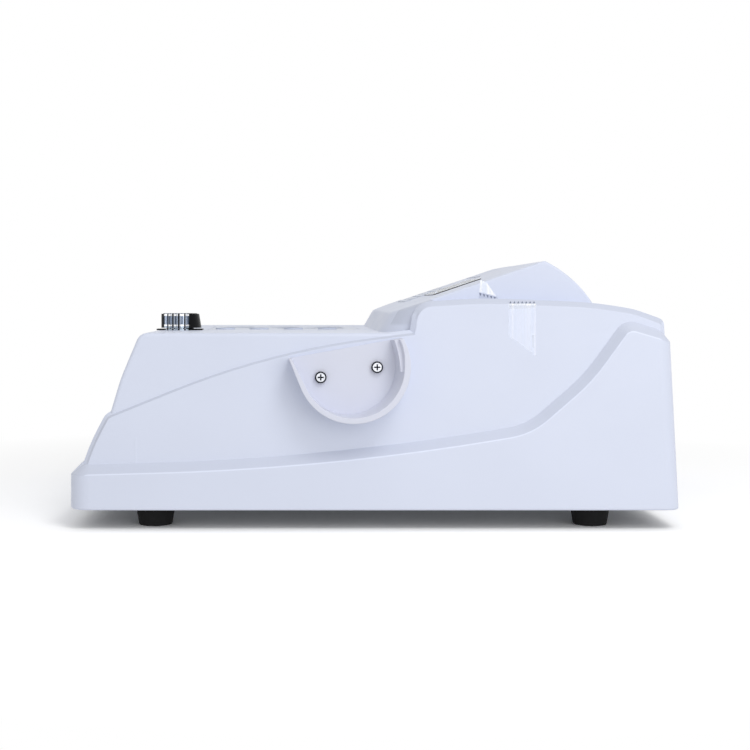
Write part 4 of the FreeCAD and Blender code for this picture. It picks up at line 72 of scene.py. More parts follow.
# The middle plane of the housing. On either side of it, the crease lies between two distances
# from it, the band beyond a third, and the pale outer edge comes in between the last two.
# The crease and the band are painted shade; the pale outer edge is a painted highlight.
MIDDLE_Y = 7.7 * MM
CREASE = mm(151.9, 153.5)
BAND_START = 153.5 * MM
PALE_EDGE = mm(159.5, 159.8)
# The tops of the two rear side walls, painted with shade, lie beyond this distance from it, above
# this height.
WALL_TOP_START = 129.0 * MM
WALL_TOP_FLOOR = 138.0 * MM

PANEL_TOP = 133.5 * MM

# The middle of the dial's lower end, its ribs, the middle and half width of its index block, and
# the half width of the plain part opposite, which gets no painted highlight and stays black as the
# side in shade.
DIAL_AXIS = Vector(mm(-140.65, -48.3, 135.25))
DIAL_RIBS = 18
DIAL_INDEX = math.radians(341.5)
INDEX_HALF = math.radians(38.5)
BACK_HALF = math.radians(50.0)
# Where a rib's silver, its painted highlight, starts and ends, in degrees from the rib's middle.
RIB_HIGHLIGHT = (2.6, 7.0)
# Two rows of white painted highlight: the height above the dial's lower end, and half their own
# height.
UPPER_ROW = mm(9.6, 0.8)
LOWER_ROW = mm(1.9, 0.75)

# Some looks keep to faces that lean one way. Each comes in between two values of the part of the
# face's direction that counts: its Z, which is 0 on an upright face and 1 on a level one, and for
# the window's edges the part that points out of the edge. SLANTED_TO takes its look away again.
SLANTED_FROM = (0.12, 0.3)
SLANTED_TO = (0.9, 0.97)
EDGE_FROM = (0.03, 0.2)
WALL_TOP_FROM = (0.25, 0.4)
DIAL_TOP_FROM = (0.75, 0.9)
WINDOW_EDGE_FROM = (0.5, 0.7)

# Painted light on the housing, as factors on its plain colour, from the first one laid on to the
# last: painted shade in the crease, on the wall tops and on the band, a painted highlight on the
# edge.
PAINTED_LIGHT = {"crease": 0.83, "wall_top": 0.86, "band": 0.88, "edge": 1.1}

# Most of a noise lies between the first two values. The next two keep only its higher places, as
# smudges on glass.
NOISE_SPAN = (0.3, 0.7)
SMUDGE_SPAN = (0.45, 0.8)
SMUDGE_SCALE = 40.0

# Materials


class Tree:
    """A small helper for a material's node tree."""

    def __init__(self, name):
        self.material = bpy.data.materials.new(name)
        self.material.use_nodes = True
        self.nodes = self.material.node_tree.nodes
        self.shader = self.nodes["Principled BSDF"]
        coordinates = self.nodes.new("ShaderNodeTexCoord")
        self.place = coordinates.outputs["Object"]
        self.facing = coordinates.outputs["Normal"]

    def link(self, start, end):
        self.material.node_tree.links.new(start, end)

    def set(self, **values):
        """Sets sockets of the shader that are the same all over the surface."""
        for name, value in values.items():
            self.shader.inputs[name.replace("_", " ")].default_value = value

    def paint(self, colour):
        self.link(colour, self.shader.inputs["Base Color"])

    def gloss(self, source, low, high, between=NOISE_SPAN):
        """Lets the roughness go from low to high where a pattern goes between two values."""
        self.link(self.span(source, low, high, *between), self.shader.inputs["Roughness"])

    def bump(self, height, strength, depth):
        """Roughens the surface by a pattern, with its depth in millimetres."""
        node = self.nodes.new("ShaderNodeBump")
        node.inputs["Strength"].default_value = strength
        node.inputs["Distance"].default_value = depth * MM
        self.link(height, node.inputs["Height"])
        self.link(node.outputs["Normal"], self.shader.inputs["Normal"])

    def stretched(self, stretch):
        if stretch is None:
            return self.place
        node = self.nodes.new("ShaderNodeMapping")
        node.inputs["Scale"].default_value = stretch
        self.link(self.place, node.inputs["Vector"])
        return node.outputs["Vector"]

    def noise(self, scale, detail, stretch=None):
        node = self.nodes.new("ShaderNodeTexNoise")
        node.inputs["Scale"].default_value = scale
        node.inputs["Detail"].default_value = detail
        self.link(self.stretched(stretch), node.inputs["Vector"])
        return node.outputs["Fac"]

    def voronoi(self, scale, stretch=None):
        node = self.nodes.new("ShaderNodeTexVoronoi")
        node.inputs["Scale"].default_value = scale
        self.link(self.stretched(stretch), node.inputs["Vector"])
        return node.outputs["Distance"]

    def smears(self):
        """Uneven gloss, drawn out to the sides."""
        return self.noise(26.0, 4.0, (1.0, 1.0, 3.0))

    def clouds(self, colour, depth):
        """A colour with faint darker and paler clouds."""
        darker, paler = shade(colour, 1 - depth), shade(colour, 1 + depth / 3)
        return self.ramp(self.noise(9.0, 3.0), darker, paler)

    def ramp(self, source, first, second, between=NOISE_SPAN):
        """Goes from one colour to another where a pattern goes between two values."""
        node = self.nodes.new("ShaderNodeValToRGB")
        for element, place, colour in zip(node.color_ramp.elements, between, (first, second)):
            element.position = place
            element.color = colour
        self.link(source, node.inputs["Fac"])
        return node.outputs["Color"]

    def span(self, source, low, high, start=0.0, end=1.0):
        """Maps a value between start and end to one between low and high."""
        node = self.nodes.new("ShaderNodeMapRange")
        node.inputs["From Min"].default_value = start
        node.inputs["From Max"].default_value = end
        node.inputs["To Min"].default_value = low
        node.inputs["To Max"].default_value = high
        self.link(source, node.inputs["Value"])
        return node.outputs["Result"]

    def step(self, source, start, end):
        """0 up to start and 1 from end on; end may also lie below start."""
        return self.span(source, 0.0, 1.0, start, end)

    def maths(self, kind, first, second=0.0):
        node = self.nodes.new("ShaderNodeMath")
        node.operation = kind
        for slot, item in zip(node.inputs, (first, second)):
            if isinstance(item, (int, float)):
                slot.default_value = item
            else:
                self.link(item, slot)
        return node.outputs["Value"]

    def absolute(self, source):
        return self.maths("ABSOLUTE", source)

    def opposite(self, source):
        return self.maths("SUBTRACT", 1.0, source)

    def product(self, first, *others):
        for other in others:
            first = self.maths("MULTIPLY", first, other)
        return first

    def axis(self, name, source=None):
        """X, Y or Z of a vector, and of the place on the object where none is given."""
        node = self.nodes.new("ShaderNodeSeparateXYZ")
        self.link(source or self.place, node.inputs["Vector"])
        return node.outputs[name]

    def vector(self, kind, first, second=None):
        """Vector maths; a dot product or a length gives a number."""
        node = self.nodes.new("ShaderNodeVectorMath")
        node.operation = kind
        for slot, item in zip(node.inputs, (first, second)):
            if isinstance(item, tuple):
                slot.default_value = item
            elif item is not None:
                self.link(item, slot)
        return node.outputs["Value" if kind in ("DOT_PRODUCT", "LENGTH") else "Vector"]

    def mix(self, factor, first, second):
        """Goes from one colour to another as the factor goes from 0 to 1."""
        node = self.nodes.new("ShaderNodeMix")
        node.data_type = "RGBA"
        self.link(factor, node.inputs["Factor"])
        for slot, item in ((node.inputs["A"], first), (node.inputs["B"], second)):
            if isinstance(item, tuple):
                slot.default_value = item
            else:
                self.link(item, slot)
        return node.outputs["Result"]


def moulded(name, colour, rough=0.45, grain=1400.0, cloud=0.03):
    """Moulded plastic: a fine spark-eroded grain, faint clouds of colour and uneven gloss."""
    tree = Tree(name)
    tree.set(Specular_IOR_Level=0.45)
    tree.paint(tree.clouds(colour, cloud))
    tree.gloss(tree.smears(), rough - 0.05, rough + 0.06)
    tree.bump(tree.noise(grain, 3.0), 0.35, 0.03)
    return tree.material


def housing_with_painted_light(name, colour):
    """Moulded plastic with painted shade on its slanted bands and wall tops, and a painted edge
    highlight.
    """
    tree = Tree(name)
    tree.set(Specular_IOR_Level=0.45)
    soft = 0.2 * MM
    aside = tree.absolute(tree.maths("SUBTRACT", tree.axis("Y"), MIDDLE_Y))
    tilt = tree.axis("Z", tree.facing)
    slanted = tree.product(
        tree.step(tilt, *SLANTED_FROM), tree.opposite(tree.step(tilt, *SLANTED_TO))
    )
    masks = {
        "crease": tree.product(
            slanted,
            tree.step(aside, CREASE[0], CREASE[0] + soft),
            tree.step(aside, CREASE[1], CREASE[1] - soft),
        ),
        "wall_top": tree.product(
            tree.step(tilt, *WALL_TOP_FROM),
            tree.step(aside, WALL_TOP_START, WALL_TOP_START + 0.5 * MM),
            tree.step(tree.axis("Z"), WALL_TOP_FLOOR, WALL_TOP_FLOOR + 2.0 * MM),
        ),
        "band": tree.product(slanted, tree.step(aside, BAND_START, BAND_START + soft)),
        "edge": tree.product(tree.step(tilt, *EDGE_FROM), tree.step(aside, *PALE_EDGE)),
    }
    # Painted shade and a painted highlight, laid over the faint clouds of colour.
    with_painted_light = tree.clouds(colour, 0.03)
    for place, painted_factor in PAINTED_LIGHT.items():
        with_painted_light = tree.mix(masks[place], with_painted_light, shade(colour, painted_factor))
    tree.paint(with_painted_light)
    tree.gloss(tree.smears(), 0.38, 0.5)
    tree.bump(tree.noise(1400.0, 3.0), 0.35, 0.03)
    return tree.material


def rubber(name, colour):
    """Rubber with a dusty bloom."""
    tree = Tree(name)
    tree.set(Specular_IOR_Level=0.25)
    dust = tree.noise(220.0, 5.0)
    tree.paint(tree.ramp(dust, colour, shade(colour, 1.9), (0.45, 0.75)))
    tree.gloss(dust, 0.72, 0.9)
    tree.bump(tree.noise(1800.0, 4.0), 0.4, 0.06)
    return tree.material


def metal(name, colour, rough, stretch=None, scale=700.0):
    """Worked metal; the stretch draws its marks out into brush or turning lines."""
    tree = Tree(name)
    tree.set(Metallic=1.0)
    marks = tree.noise(scale, 4.0, stretch)
    tree.paint(tree.ramp(marks, shade(colour, 0.86), colour))
    tree.gloss(marks, rough - 0.08, rough + 0.1)
    tree.bump(marks, 0.3, 0.02)
    return tree.material


def coated(name, colour):
    """Powder coat: metal sheet under a slightly pebbled paint."""
    tree = Tree(name)
    pebbles = tree.noise(650.0, 2.0)
    tree.paint(tree.ramp(tree.noise(14.0, 3.0), shade(colour, 0.94), shade(colour, 1.03)))
    tree.gloss(pebbles, 0.36, 0.5)
    tree.bump(pebbles, 0.5, 0.08)
    return tree.material


def circuit(name, mask, track):
    """Solder mask with the pattern of tracks below it."""
    tree = Tree(name)
    tree.set(Roughness=0.32)
    cells = tree.voronoi(420.0, (1.0, 0.35, 1.0))
    tree.paint(tree.ramp(cells, track, mask, (0.28, 0.34)))
    tree.bump(cells, 0.2, 0.05)
    return tree.material


def paper(name, dark, pale):
    """Matt paper with its fibres along the roll."""
    tree = Tree(name)
    tree.set(Roughness=0.8)
    fibres = tree.noise(900.0, 5.0, (1.0, 0.3, 1.0))
    tree.paint(tree.ramp(fibres, dark, pale, (0.35, 0.7)))
    tree.bump(fibres, 0.3, 0.03)
    return tree.material


def clear_glass(name, tint):
    """Clear glass with faint smudges."""
    tree = Tree(name)
    tree.set(Base_Color=tint, Transmission_Weight=0.85, IOR=1.5)
    tree.gloss(tree.noise(SMUDGE_SCALE, 4.0), 0.04, 0.1, SMUDGE_SPAN)
    return tree.material


def window_pane(name, tint, black):
    """Clear sheet with blackened edges and faint smudges."""
    tree = Tree(name)
    tree.set(IOR=1.46, Specular_IOR_Level=0.3)
    edge = tree.vector("DOT_PRODUCT", tree.facing, tuple(SLOPE_ALONG))
    edges = tree.maths(
        "MAXIMUM",
        tree.step(tree.absolute(tree.axis("Y", tree.facing)), *WINDOW_EDGE_FROM),
        tree.step(tree.absolute(edge), *WINDOW_EDGE_FROM),
    )
    tree.paint(tree.mix(edges, tint, black))
    tree.link(tree.span(edges, 0.9, 0.0), tree.shader.inputs["Transmission Weight"])
    tree.gloss(tree.noise(SMUDGE_SCALE, 4.0), 0.2, 0.26, SMUDGE_SPAN)
    return tree.material


def screw_metal(name, node, bright, dark):
    """Two plated screws facing the near side: bright heads with painted shade on rims and recesses.
    """
    tree = Tree(name)
    tree.set(Metallic=1.0)
    head_deep = 1.5 * MM
    places = [v.co for v in nodes[node].data.vertices]
    top = min(p.y for p in places)
    heads = [p for p in places if p.y < top + head_deep]
    split = (min(p.x for p in heads) + max(p.x for p in heads)) / 2
    away = None
    for side in (-1, 1):
        one = [p for p in heads if (p.x - split) * side > 0]
        middle = [(min(p[i] for p in one) + max(p[i] for p in one)) / 2 for i in range(3)]
        radius = (max(p.x for p in one) - min(p.x for p in one)) / 2
        off = tree.vector("SUBTRACT", tree.place, tuple(middle))
        off = tree.vector("LENGTH", tree.vector("MULTIPLY", off, (1.0, 0.0, 1.0)))
        away = off if away is None else tree.maths("MINIMUM", away, off)
    # Painted shade: each head's rim and its cross recess are drawn dark.
    rim = tree.step(away, radius * 0.72, radius * 0.8)
    recess_shade = tree.step(tree.axis("Y"), top + 0.35 * MM, top + 0.6 * MM)
    marks = tree.noise(900.0, 4.0)
    worn = tree.ramp(marks, shade(bright, 0.86), bright)
    tree.paint(tree.mix(tree.maths("MAXIMUM", rim, recess_shade), worn, dark))
    tree.gloss(marks, 0.2, 0.34)
    tree.bump(marks, 0.2, 0.02)
    return tree.material


def dial_with_painted_highlights(name, black, skirt, crest, edge, row):
    """Gloss black, its ribs silvered as painted highlights, not on the index block, opposite it or
    on top.
    """
    tree = Tree(name)
    tree.set(Specular_IOR_Level=0.12)
    from_axis = tree.vector("SUBTRACT", tree.place, tuple(DIAL_AXIS))
    high = tree.axis("Z", from_axis)

    outward = tree.vector("NORMALIZE", tree.vector("MULTIPLY", from_axis, (1.0, 1.0, 0.0)))
    index_way = (math.cos(DIAL_INDEX), math.sin(DIAL_INDEX), 0.0)
    beside = tree.vector("DOT_PRODUCT", outward, index_way)
    block_end = math.cos(INDEX_HALF)
    back_end = -math.cos(BACK_HALF)
    plain = tree.maths(
        "MAXIMUM",
        tree.step(beside, block_end - 0.02, block_end),
        tree.step(beside, back_end + 0.02, back_end),
    )
    top = tree.step(tree.absolute(tree.axis("Z", tree.facing)), *DIAL_TOP_FROM)

    # Degrees from the middle of the nearest rib.
    half_pitch = math.pi / DIAL_RIBS
    soft = 0.6
    angle = tree.maths("ARCTAN2", tree.axis("Y", from_axis), tree.axis("X", from_axis))
    off_rib = tree.maths("PINGPONG", angle, half_pitch)
    off_rib = tree.span(off_rib, 0.0, math.degrees(half_pitch), 0.0, half_pitch)
    # Painted highlight and reflection on the ribs: grey in a rib's middle, paler on the skirt below
    # the lower row, brighter at the rib's edges.
    at_edge = tree.step(off_rib, RIB_HIGHLIGHT[0] - soft, RIB_HIGHLIGHT[0] + soft)
    on_rib = tree.step(off_rib, RIB_HIGHLIGHT[1] + soft, RIB_HIGHLIGHT[1] - soft)
    highlighted = tree.product(tree.opposite(plain), tree.opposite(top), on_rib)

    # Two rows of white painted highlight round the ribs.
    in_rows = []
    for level, half in (UPPER_ROW, LOWER_ROW):
        off = tree.absolute(tree.maths("SUBTRACT", high, level))
        in_rows.append(tree.span(off, 1.0, 0.0, half * 0.5, half))
    on_skirt = tree.step(high, LOWER_ROW[0], LOWER_ROW[0] - 0.4 * MM)
    rib_highlight = tree.mix(on_skirt, crest, skirt)
    rib_highlight = tree.mix(at_edge, rib_highlight, edge)
    rib_highlight = tree.mix(tree.maths("MAXIMUM", *in_rows), rib_highlight, row)
    tree.paint(tree.mix(highlighted, black, rib_highlight))
    tree.link(highlighted, tree.shader.inputs["Metallic"])
    grain = tree.noise(1500.0, 3.0)
    tree.gloss(grain, 0.22, 0.36)
    tree.bump(grain, 0.2, 0.01)
    return tree.material


def keypad_film(name, sheet, keys, speck):
    """A printed film: a grey-blue sheet with the raised keys paler."""
    tree = Tree(name)
    tree.set(Specular_IOR_Level=0.5)
    grain = tree.noise(2400.0, 2.0)
    rise = tree.vector("SUBTRACT", tree.place, tuple(SLOPE_APEX))
    rise = tree.vector("DOT_PRODUCT", rise, tuple(SLOPE_UP))
    fields = tree.mix(tree.step(rise, 0.1 * MM, 0.4 * MM), sheet, keys)
    tree.paint(tree.mix(tree.span(grain, 0.0, 0.12), fields, speck))
    tree.gloss(grain, 0.3, 0.42)
    tree.bump(grain, 0.2, 0.02)
    return tree.material


def packing_film(name, cover):
    """Clear film with faint pull lines; the cover is how milky it looks."""
    tree = Tree(name)
    tree.set(Specular_IOR_Level=0.3, Roughness=0.4)
    lines = tree.noise(420.0, 2.0, (1.0, 1.0, 0.01))
    between = (0.4, 0.6)
    tree.paint(tree.ramp(lines, srgb(244, 248, 255), srgb(255, 255, 255), between))
    alpha = tree.span(lines, cover * 0.8, cover * 1.2, *between)
    tree.link(alpha, tree.shader.inputs["Alpha"])
    return tree.material


def printed(name, colour):
    """Screen ink: even colour with a fine mesh tooth."""
    tree = Tree(name)
    tooth = tree.voronoi(5200.0)
    tree.paint(tree.ramp(tooth, shade(colour, 0.93), colour, (0.2, 0.7)))
    tree.gloss(tooth, 0.45, 0.55, (0.0, 1.0))
    tree.bump(tooth, 0.15, 0.01)
    return tree.material


def screen_glow(name, colour):
    """A display cell: fine rows of dots below the picture."""
    tree = Tree(name)
    tree.set(Roughness=0.25)
    rows = tree.nodes.new("ShaderNodeTexWave")
    rows.bands_direction = "Y"
    rows.inputs["Scale"].default_value = 500.0
    tree.link(tree.place, rows.inputs["Vector"])
    tree.paint(tree.ramp(rows.outputs["Fac"], shade(colour, 0.9), colour, (0.2, 0.8)))
    return tree.material


HOUSING_COLOUR = srgb(217, 223, 240)

body_plastic = housing_with_painted_light("housing_plastic", HOUSING_COLOUR)
lid_plastic = moulded("lid_plastic", HOUSING_COLOUR)
panel_plastic = moulded("panel_plastic", srgb(207, 214, 230), 0.4, 1800.0)
rest_plastic = moulded("rest_plastic", srgb(217, 220, 234), 0.42)
black_plastic = moulded("black_plastic", srgb(26, 26, 28), 0.45, 1600.0, cloud=0.12)
socket_plastic = moulded("socket_plastic", srgb(22, 22, 24), 0.35, 1500.0, cloud=0.1)
bucket_plastic = moulded("bucket_plastic", srgb(40, 40, 43), 0.5, 1200.0, cloud=0.1)
gear_plastic = moulded("gear_plastic", srgb(228, 226, 216), 0.4, 1500.0)
ribbon_grey = moulded("ribbon_grey", srgb(176, 178, 182), 0.5, 900.0)
# The dial's black, with the painted highlights and reflections of its ribs.
dial_black = dial_with_painted_highlights(
    "dial_black",
    black=srgb(6, 7, 9),
    skirt=srgb(156, 170, 178),
    crest=srgb(76, 86, 102),
    edge=srgb(178, 188, 204),
    row=srgb(255, 255, 255),
)
keypad_sheet = keypad_film(
    "keypad_film",
    sheet=srgb(200, 207, 222),
    keys=srgb(216, 222, 236),
    speck=srgb(120, 130, 150),
)
case_metal = coated("case_metal", srgb(60, 61, 64))
sheet_paint = coated("sheet_paint", srgb(196, 201, 213))
plate_paint = coated("plate_paint", srgb(74, 77, 82))
foot_rubber = rubber("foot_rubber", srgb(18, 18, 19))
platen_rubber = rubber("platen_rubber", srgb(34, 34, 36))
mat_silicone = rubber("mat_silicone", srgb(176, 78, 44))
zinc = metal("zinc", srgb(196, 198, 204), 0.34)
brass = metal("brass", srgb(206, 176, 104), 0.28)
nickel = metal("nickel", srgb(214, 213, 210), 0.24, scale=900.0)
brushed = metal("brushed_steel", srgb(188, 190, 194), 0.33, (0.15, 1.0, 1.0), 1100.0)
anodised = metal("anodised_alloy", srgb(196, 199, 204), 0.38, (1.0, 0.12, 1.0), 900.0)
# The dark colour is the screws' painted shade.
rest_nickel = screw_metal("rest_nickel", "rest_screws", srgb(226, 229, 236), srgb(26, 29, 36))
board_green = circuit("board_green", mask=srgb(18, 92, 52), track=srgb(32, 122, 70))
thermal_paper = paper("thermal_paper", srgb(232, 233, 230), srgb(246, 246, 243))
window_glass = window_pane("window_glass", (0.6, 0.68, 0.82, 1.0), srgb(12, 12, 14))
fuse_glass = clear_glass("fuse_glass", (0.93, 0.96, 0.96, 1.0))
film_clear = packing_film("film_clear", 0.15)
film_milky = packing_film("film_milky", 0.6)
# Painted shade for the film: under its fold, and in its saw cuts.
film_fold_shade = printed("film_fold_shade", srgb(198, 204, 222))
film_tooth_shadow = printed("film_tooth_shadow", srgb(116, 124, 146))
ink_dark = printed("ink_dark", srgb(58, 66, 84))
ink_white = printed("ink_white", srgb(226, 228, 230))
ink_blue = printed("ink_blue", srgb(44, 92, 150))
screen_lit = screen_glow("screen_lit", srgb(176, 200, 206))
screen_ink = printed("screen_ink", srgb(34, 48, 66))

FINISH = {
    body_plastic: ["housing_shell"],
    lid_plastic: ["printer_lid"],
    rest_plastic: ["pipette_rest"],
    panel_plastic: ["well_panel"],
    foot_rubber: ["foot_front_near", "foot_front_far", "foot_rear_near", "foot_rear_far"],
    plate_paint: ["base_plate"],
    zinc: [
        "foot_screws",
        "foot_nuts",
        "base_screws",
        "rest_nuts",
        "board_screws",
        "rear_panel_screws",
    ],
    nickel: ["panel_screws", "encoder_nut"],
    rest_nickel: ["rest_screws"],
    anodised: ["measuring_block", "incubation_block", "reagent_block", "carrier_plate"],
    mat_silicone: ["heater_mat"],
    brass: ["block_posts", "board_standoffs", "supply_standoffs", "inlet_blades", "motor_pinion"],
    board_green: ["lamp_board", "amplifier_board", "display_board", "main_board", "power_supply"],
    brushed: [
        "temperature_probe",
        "stirrer_motor",
        "encoder_body",
        "encoder_shaft",
        "lid_hinge_pin",
        "feed_motor",
        "thermal_head",
        "serial_socket",
        "data_socket",
    ],
    black_plastic: ["stirrer_rotor", "switch_plunger"],
    dial_black: ["dial_knob", "dial_collar"],
    window_glass: ["display_window"],
    case_metal: ["display_module"],
    keypad_sheet: ["keypad_membrane"],
    platen_rubber: ["platen_roller"],
    gear_plastic: ["platen_gear", "paper_spindle"],
    bucket_plastic: ["printer_bucket"],
    thermal_paper: ["paper_roll"],
    ribbon_grey: ["display_ribbon"],
    sheet_paint: ["rear_panel"],
    socket_plastic: ["mains_inlet", "fuse_drawer", "power_rocker"],
    fuse_glass: ["fuses"],
}

for finish, names in FINISH.items():
    for name in names:
        data = nodes[name].data
        data.materials.clear()
        data.materials.append(finish)

# Pieces that only the looks have


def add_piece(name, bm, finish, body="housing"):
    data = bpy.data.meshes.new(name)
    bmesh.ops.recalc_face_normals(bm, faces=bm.faces)
    bm.to_mesh(data)
    bm.free()
    data.materials.append(finish)
    piece = bpy.data.objects.new(name, data)
    bpy.context.scene.collection.objects.link(piece)
    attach(piece, body)
    return piece


class Plane:
    """A flat place: its start, its two directions and the way that it faces.

    Lengths on it are in millimetres. A layer is the space between two distances from it.
    """

    def __init__(self, start, right, up, face):
        self.start = start
        self.right = right
        self.up = up
        self.face = face

    def at(self, right, up, out):
        """A point on the plane, or out of it."""
        return self.start + (self.right * right + self.up * up + self.face * out) * MM

    def plate(self, bm, outline, layer):
        """A thin plate with the given outline."""
        rings = [[bm.verts.new(self.at(*point, out)) for point in outline] for out in layer]
        bm.faces.new(rings[0])
        bm.faces.new(list(reversed(rings[1])))
        count = len(outline)
        for i in range(count):
            j = (i + 1) % count
            bm.faces.new((rings[0][i], rings[1][i], rings[1][j], rings[0][j]))

    def bar(self, bm, start, end, wide, layer):
        """A thin straight bar between two points."""
        along = (Vector(end) - Vector(start)).normalized()
        side = Vector((-along.y, along.x)) * wide / 2
        ends = (Vector(start) + side, Vector(start) - side, Vector(end) - side, Vector(end) + side)
        self.plate(bm, [tuple(point) for point in ends], layer)

    def spread(self, node):
        """The lowest and highest place of a node: to the right, up and out."""
        places = []
        for vertex in nodes[node].data.vertices:
            off = (nodes[node].matrix_world @ vertex.co - self.start) / MM
            places.append((off.dot(self.right), off.dot(self.up), off.dot(self.face)))
        return [[limit(place[i] for place in places) for i in range(3)] for limit in (min, max)]


# The console's slope, as the user sees it: right is the near side, up is the rear.
CONSOLE = Plane(SLOPE_APEX, -INWARD, SLOPE_ALONG, SLOPE_UP)

# Signs, in millimetres: the ink's layer on its surface, and how tall each kind is.
INK = (0.005, 0.035)
KEY_DIGIT = 7.0
WELL_NUMBER = 4.5
SWITCH_SIGN = 3.4


def write_on(plane, bm, text, place, tall, level=0.0):
    """Prints a sign with its middle at a place, on a surface at a level above the plane."""
    curve = bpy.data.curves.new("sign", "FONT")
    curve.body = text
    curve.size = tall
    curve.extrude = (INK[1] - INK[0]) / 2
    curve.resolution_u = 3
    sign = bpy.data.objects.new("sign", curve)
    bpy.context.scene.collection.objects.link(sign)
    bpy.context.view_layer.update()
    mesh = bpy.data.meshes.new_from_object(sign)
    xs = [v.co.x for v in mesh.vertices]
    ys = [v.co.y for v in mesh.vertices]
    right = place[0] - (min(xs) + max(xs)) / 2
    up = place[1] - (min(ys) + max(ys)) / 2
    out = level + (INK[0] + INK[1]) / 2
    for vertex in mesh.vertices:
        x, y, z = vertex.co
        vertex.co = plane.at(right + x, up + y, out + z)
    bm.from_mesh(mesh)
    bpy.data.objects.remove(sign)
    bpy.data.curves.remove(curve)
    bpy.data.meshes.remove(mesh)


def make_key_signs():
    """Digits and arrows on the keys, in the order of a desk calculator."""
    rows = ("1230", "456v", "789^")
    half_wide, half_tall = 3.0, 2.6
    low, high = CONSOLE.spread("keypad_membrane")
    step = ((high[0] - low[0]) / len(rows[0]), (high[1] - low[1]) / len(rows))
    ink = [high[2] + out for out in INK]
    digits = bmesh.new()
    arrows = bmesh.new()
    for row, keys in enumerate(rows):
        for column, key in enumerate(keys):
            x = low[0] + step[0] * (column + 0.5)
            y = low[1] + step[1] * (row + 0.5)
            if key.isdigit():
                write_on(CONSOLE, digits, key, (x, y), KEY_DIGIT, high[2])
                continue
            tip = half_tall if key == "^" else -half_tall
            foot = y - tip * 0.8
            CONSOLE.plate(arrows, [(x, y + tip), (x - half_wide, foot), (x + half_wide, foot)], ink)
    add_piece("key_digits", digits, ink_dark)
    add_piece("key_arrows", arrows, ink_blue)


def make_well_numbers():
    """A number beside each measuring well, on the plate round the wells."""
    deck = Plane(UPWARD * PANEL_TOP, -INWARD, REARWARD, UPWARD)
    wells, first, pitch, right = 4, -108.25, 26.2, 33.0
    numbers = bmesh.new()
    for i in range(wells):
        write_on(deck, numbers, str(i + 1), (right, first + pitch * i), WELL_NUMBER)
    add_piece("well_numbers", numbers, ink_dark)


def make_rocker_signs():
    """The on and off signs of the mains switch, which tilt with it."""
    rocker = nodes["power_rocker"].data
    middle = sum(v.co.z for v in rocker.vertices) / len(rocker.vertices)
    signs = bmesh.new()
    for half, sign in ((1, "I"), (-1, "O")):
        faces = [
            p for p in rocker.polygons if p.normal.x > 0.9 and (p.center.z - middle) * half > 0
        ]
        centre = sum((p.center * p.area for p in faces), Vector()) / sum(p.area for p in faces)
        out = sum((p.normal * p.area for p in faces), Vector()).normalized()
        plane = Plane(centre, INWARD, out.cross(INWARD), out)
        write_on(plane, signs, sign, (0.0, 0.0), SWITCH_SIGN)
    add_piece("rocker_signs", signs, ink_white, "rocker")


def make_screen():
    """The lit cell of the display, with a curve between its axes and rows of results."""
    rim, margin = 3.0, 2.5
    axis_wide, curve_wide, row_tall = 0.5, 0.6, 1.5
    label_start, label_end = 3.0, 12.0
    result_lengths = (9.0, 7.0, 10.0, 6.0)
    low, high = CONSOLE.spread("display_module")
    cell_layer, mark_layer = (
        [high[2] + out for out in layer] for layer in ((0.02, 0.12), (0.13, 0.18))
    )
    left, right = low[0] + rim, high[0] - rim
    bottom, top = low[1] + rim, high[1] - rim
    wide, tall = right - left, top - bottom

    cell = bmesh.new()
    corners = [(left, bottom), (right, bottom), (right, top), (left, top)]
    CONSOLE.plate(cell, corners, cell_layer)
    add_piece("screen_cell", cell, screen_lit)

    marks = bmesh.new()
    base = bottom + tall * 0.14
    middle = left + wide * 0.54
    upright = left + margin + axis_wide / 2
    CONSOLE.bar(marks, (left + margin, base), (middle, base), axis_wide, mark_layer)
    CONSOLE.bar(marks, (upright, base), (upright, top - margin), axis_wide, mark_layer)

    steps, steepness, half_way = 24, 11, 0.45
    start, end, foot, climb = left + 3.5, middle - 1.5, base + 1.2, tall * 0.55
    points = []
    for i in range(steps + 1):
        part = i / steps
        rise = 1 / (1 + math.exp(-steepness * (part - half_way)))
        points.append((start + part * (end - start), foot + rise * climb))
    for first, second in zip(points, points[1:]):
        CONSOLE.bar(marks, first, second, curve_wide, mark_layer)

    for row, length in enumerate(result_lengths):
        y = top - 3.0 - row * tall * 0.22
        label = (middle + label_start, y), (middle + label_end, y)
        result = (right - margin - length, y), (right - margin, y)
        CONSOLE.bar(marks, *label, row_tall, mark_layer)
        CONSOLE.bar(marks, *result, row_tall, mark_layer)
    add_piece("screen_marks", marks, screen_ink)


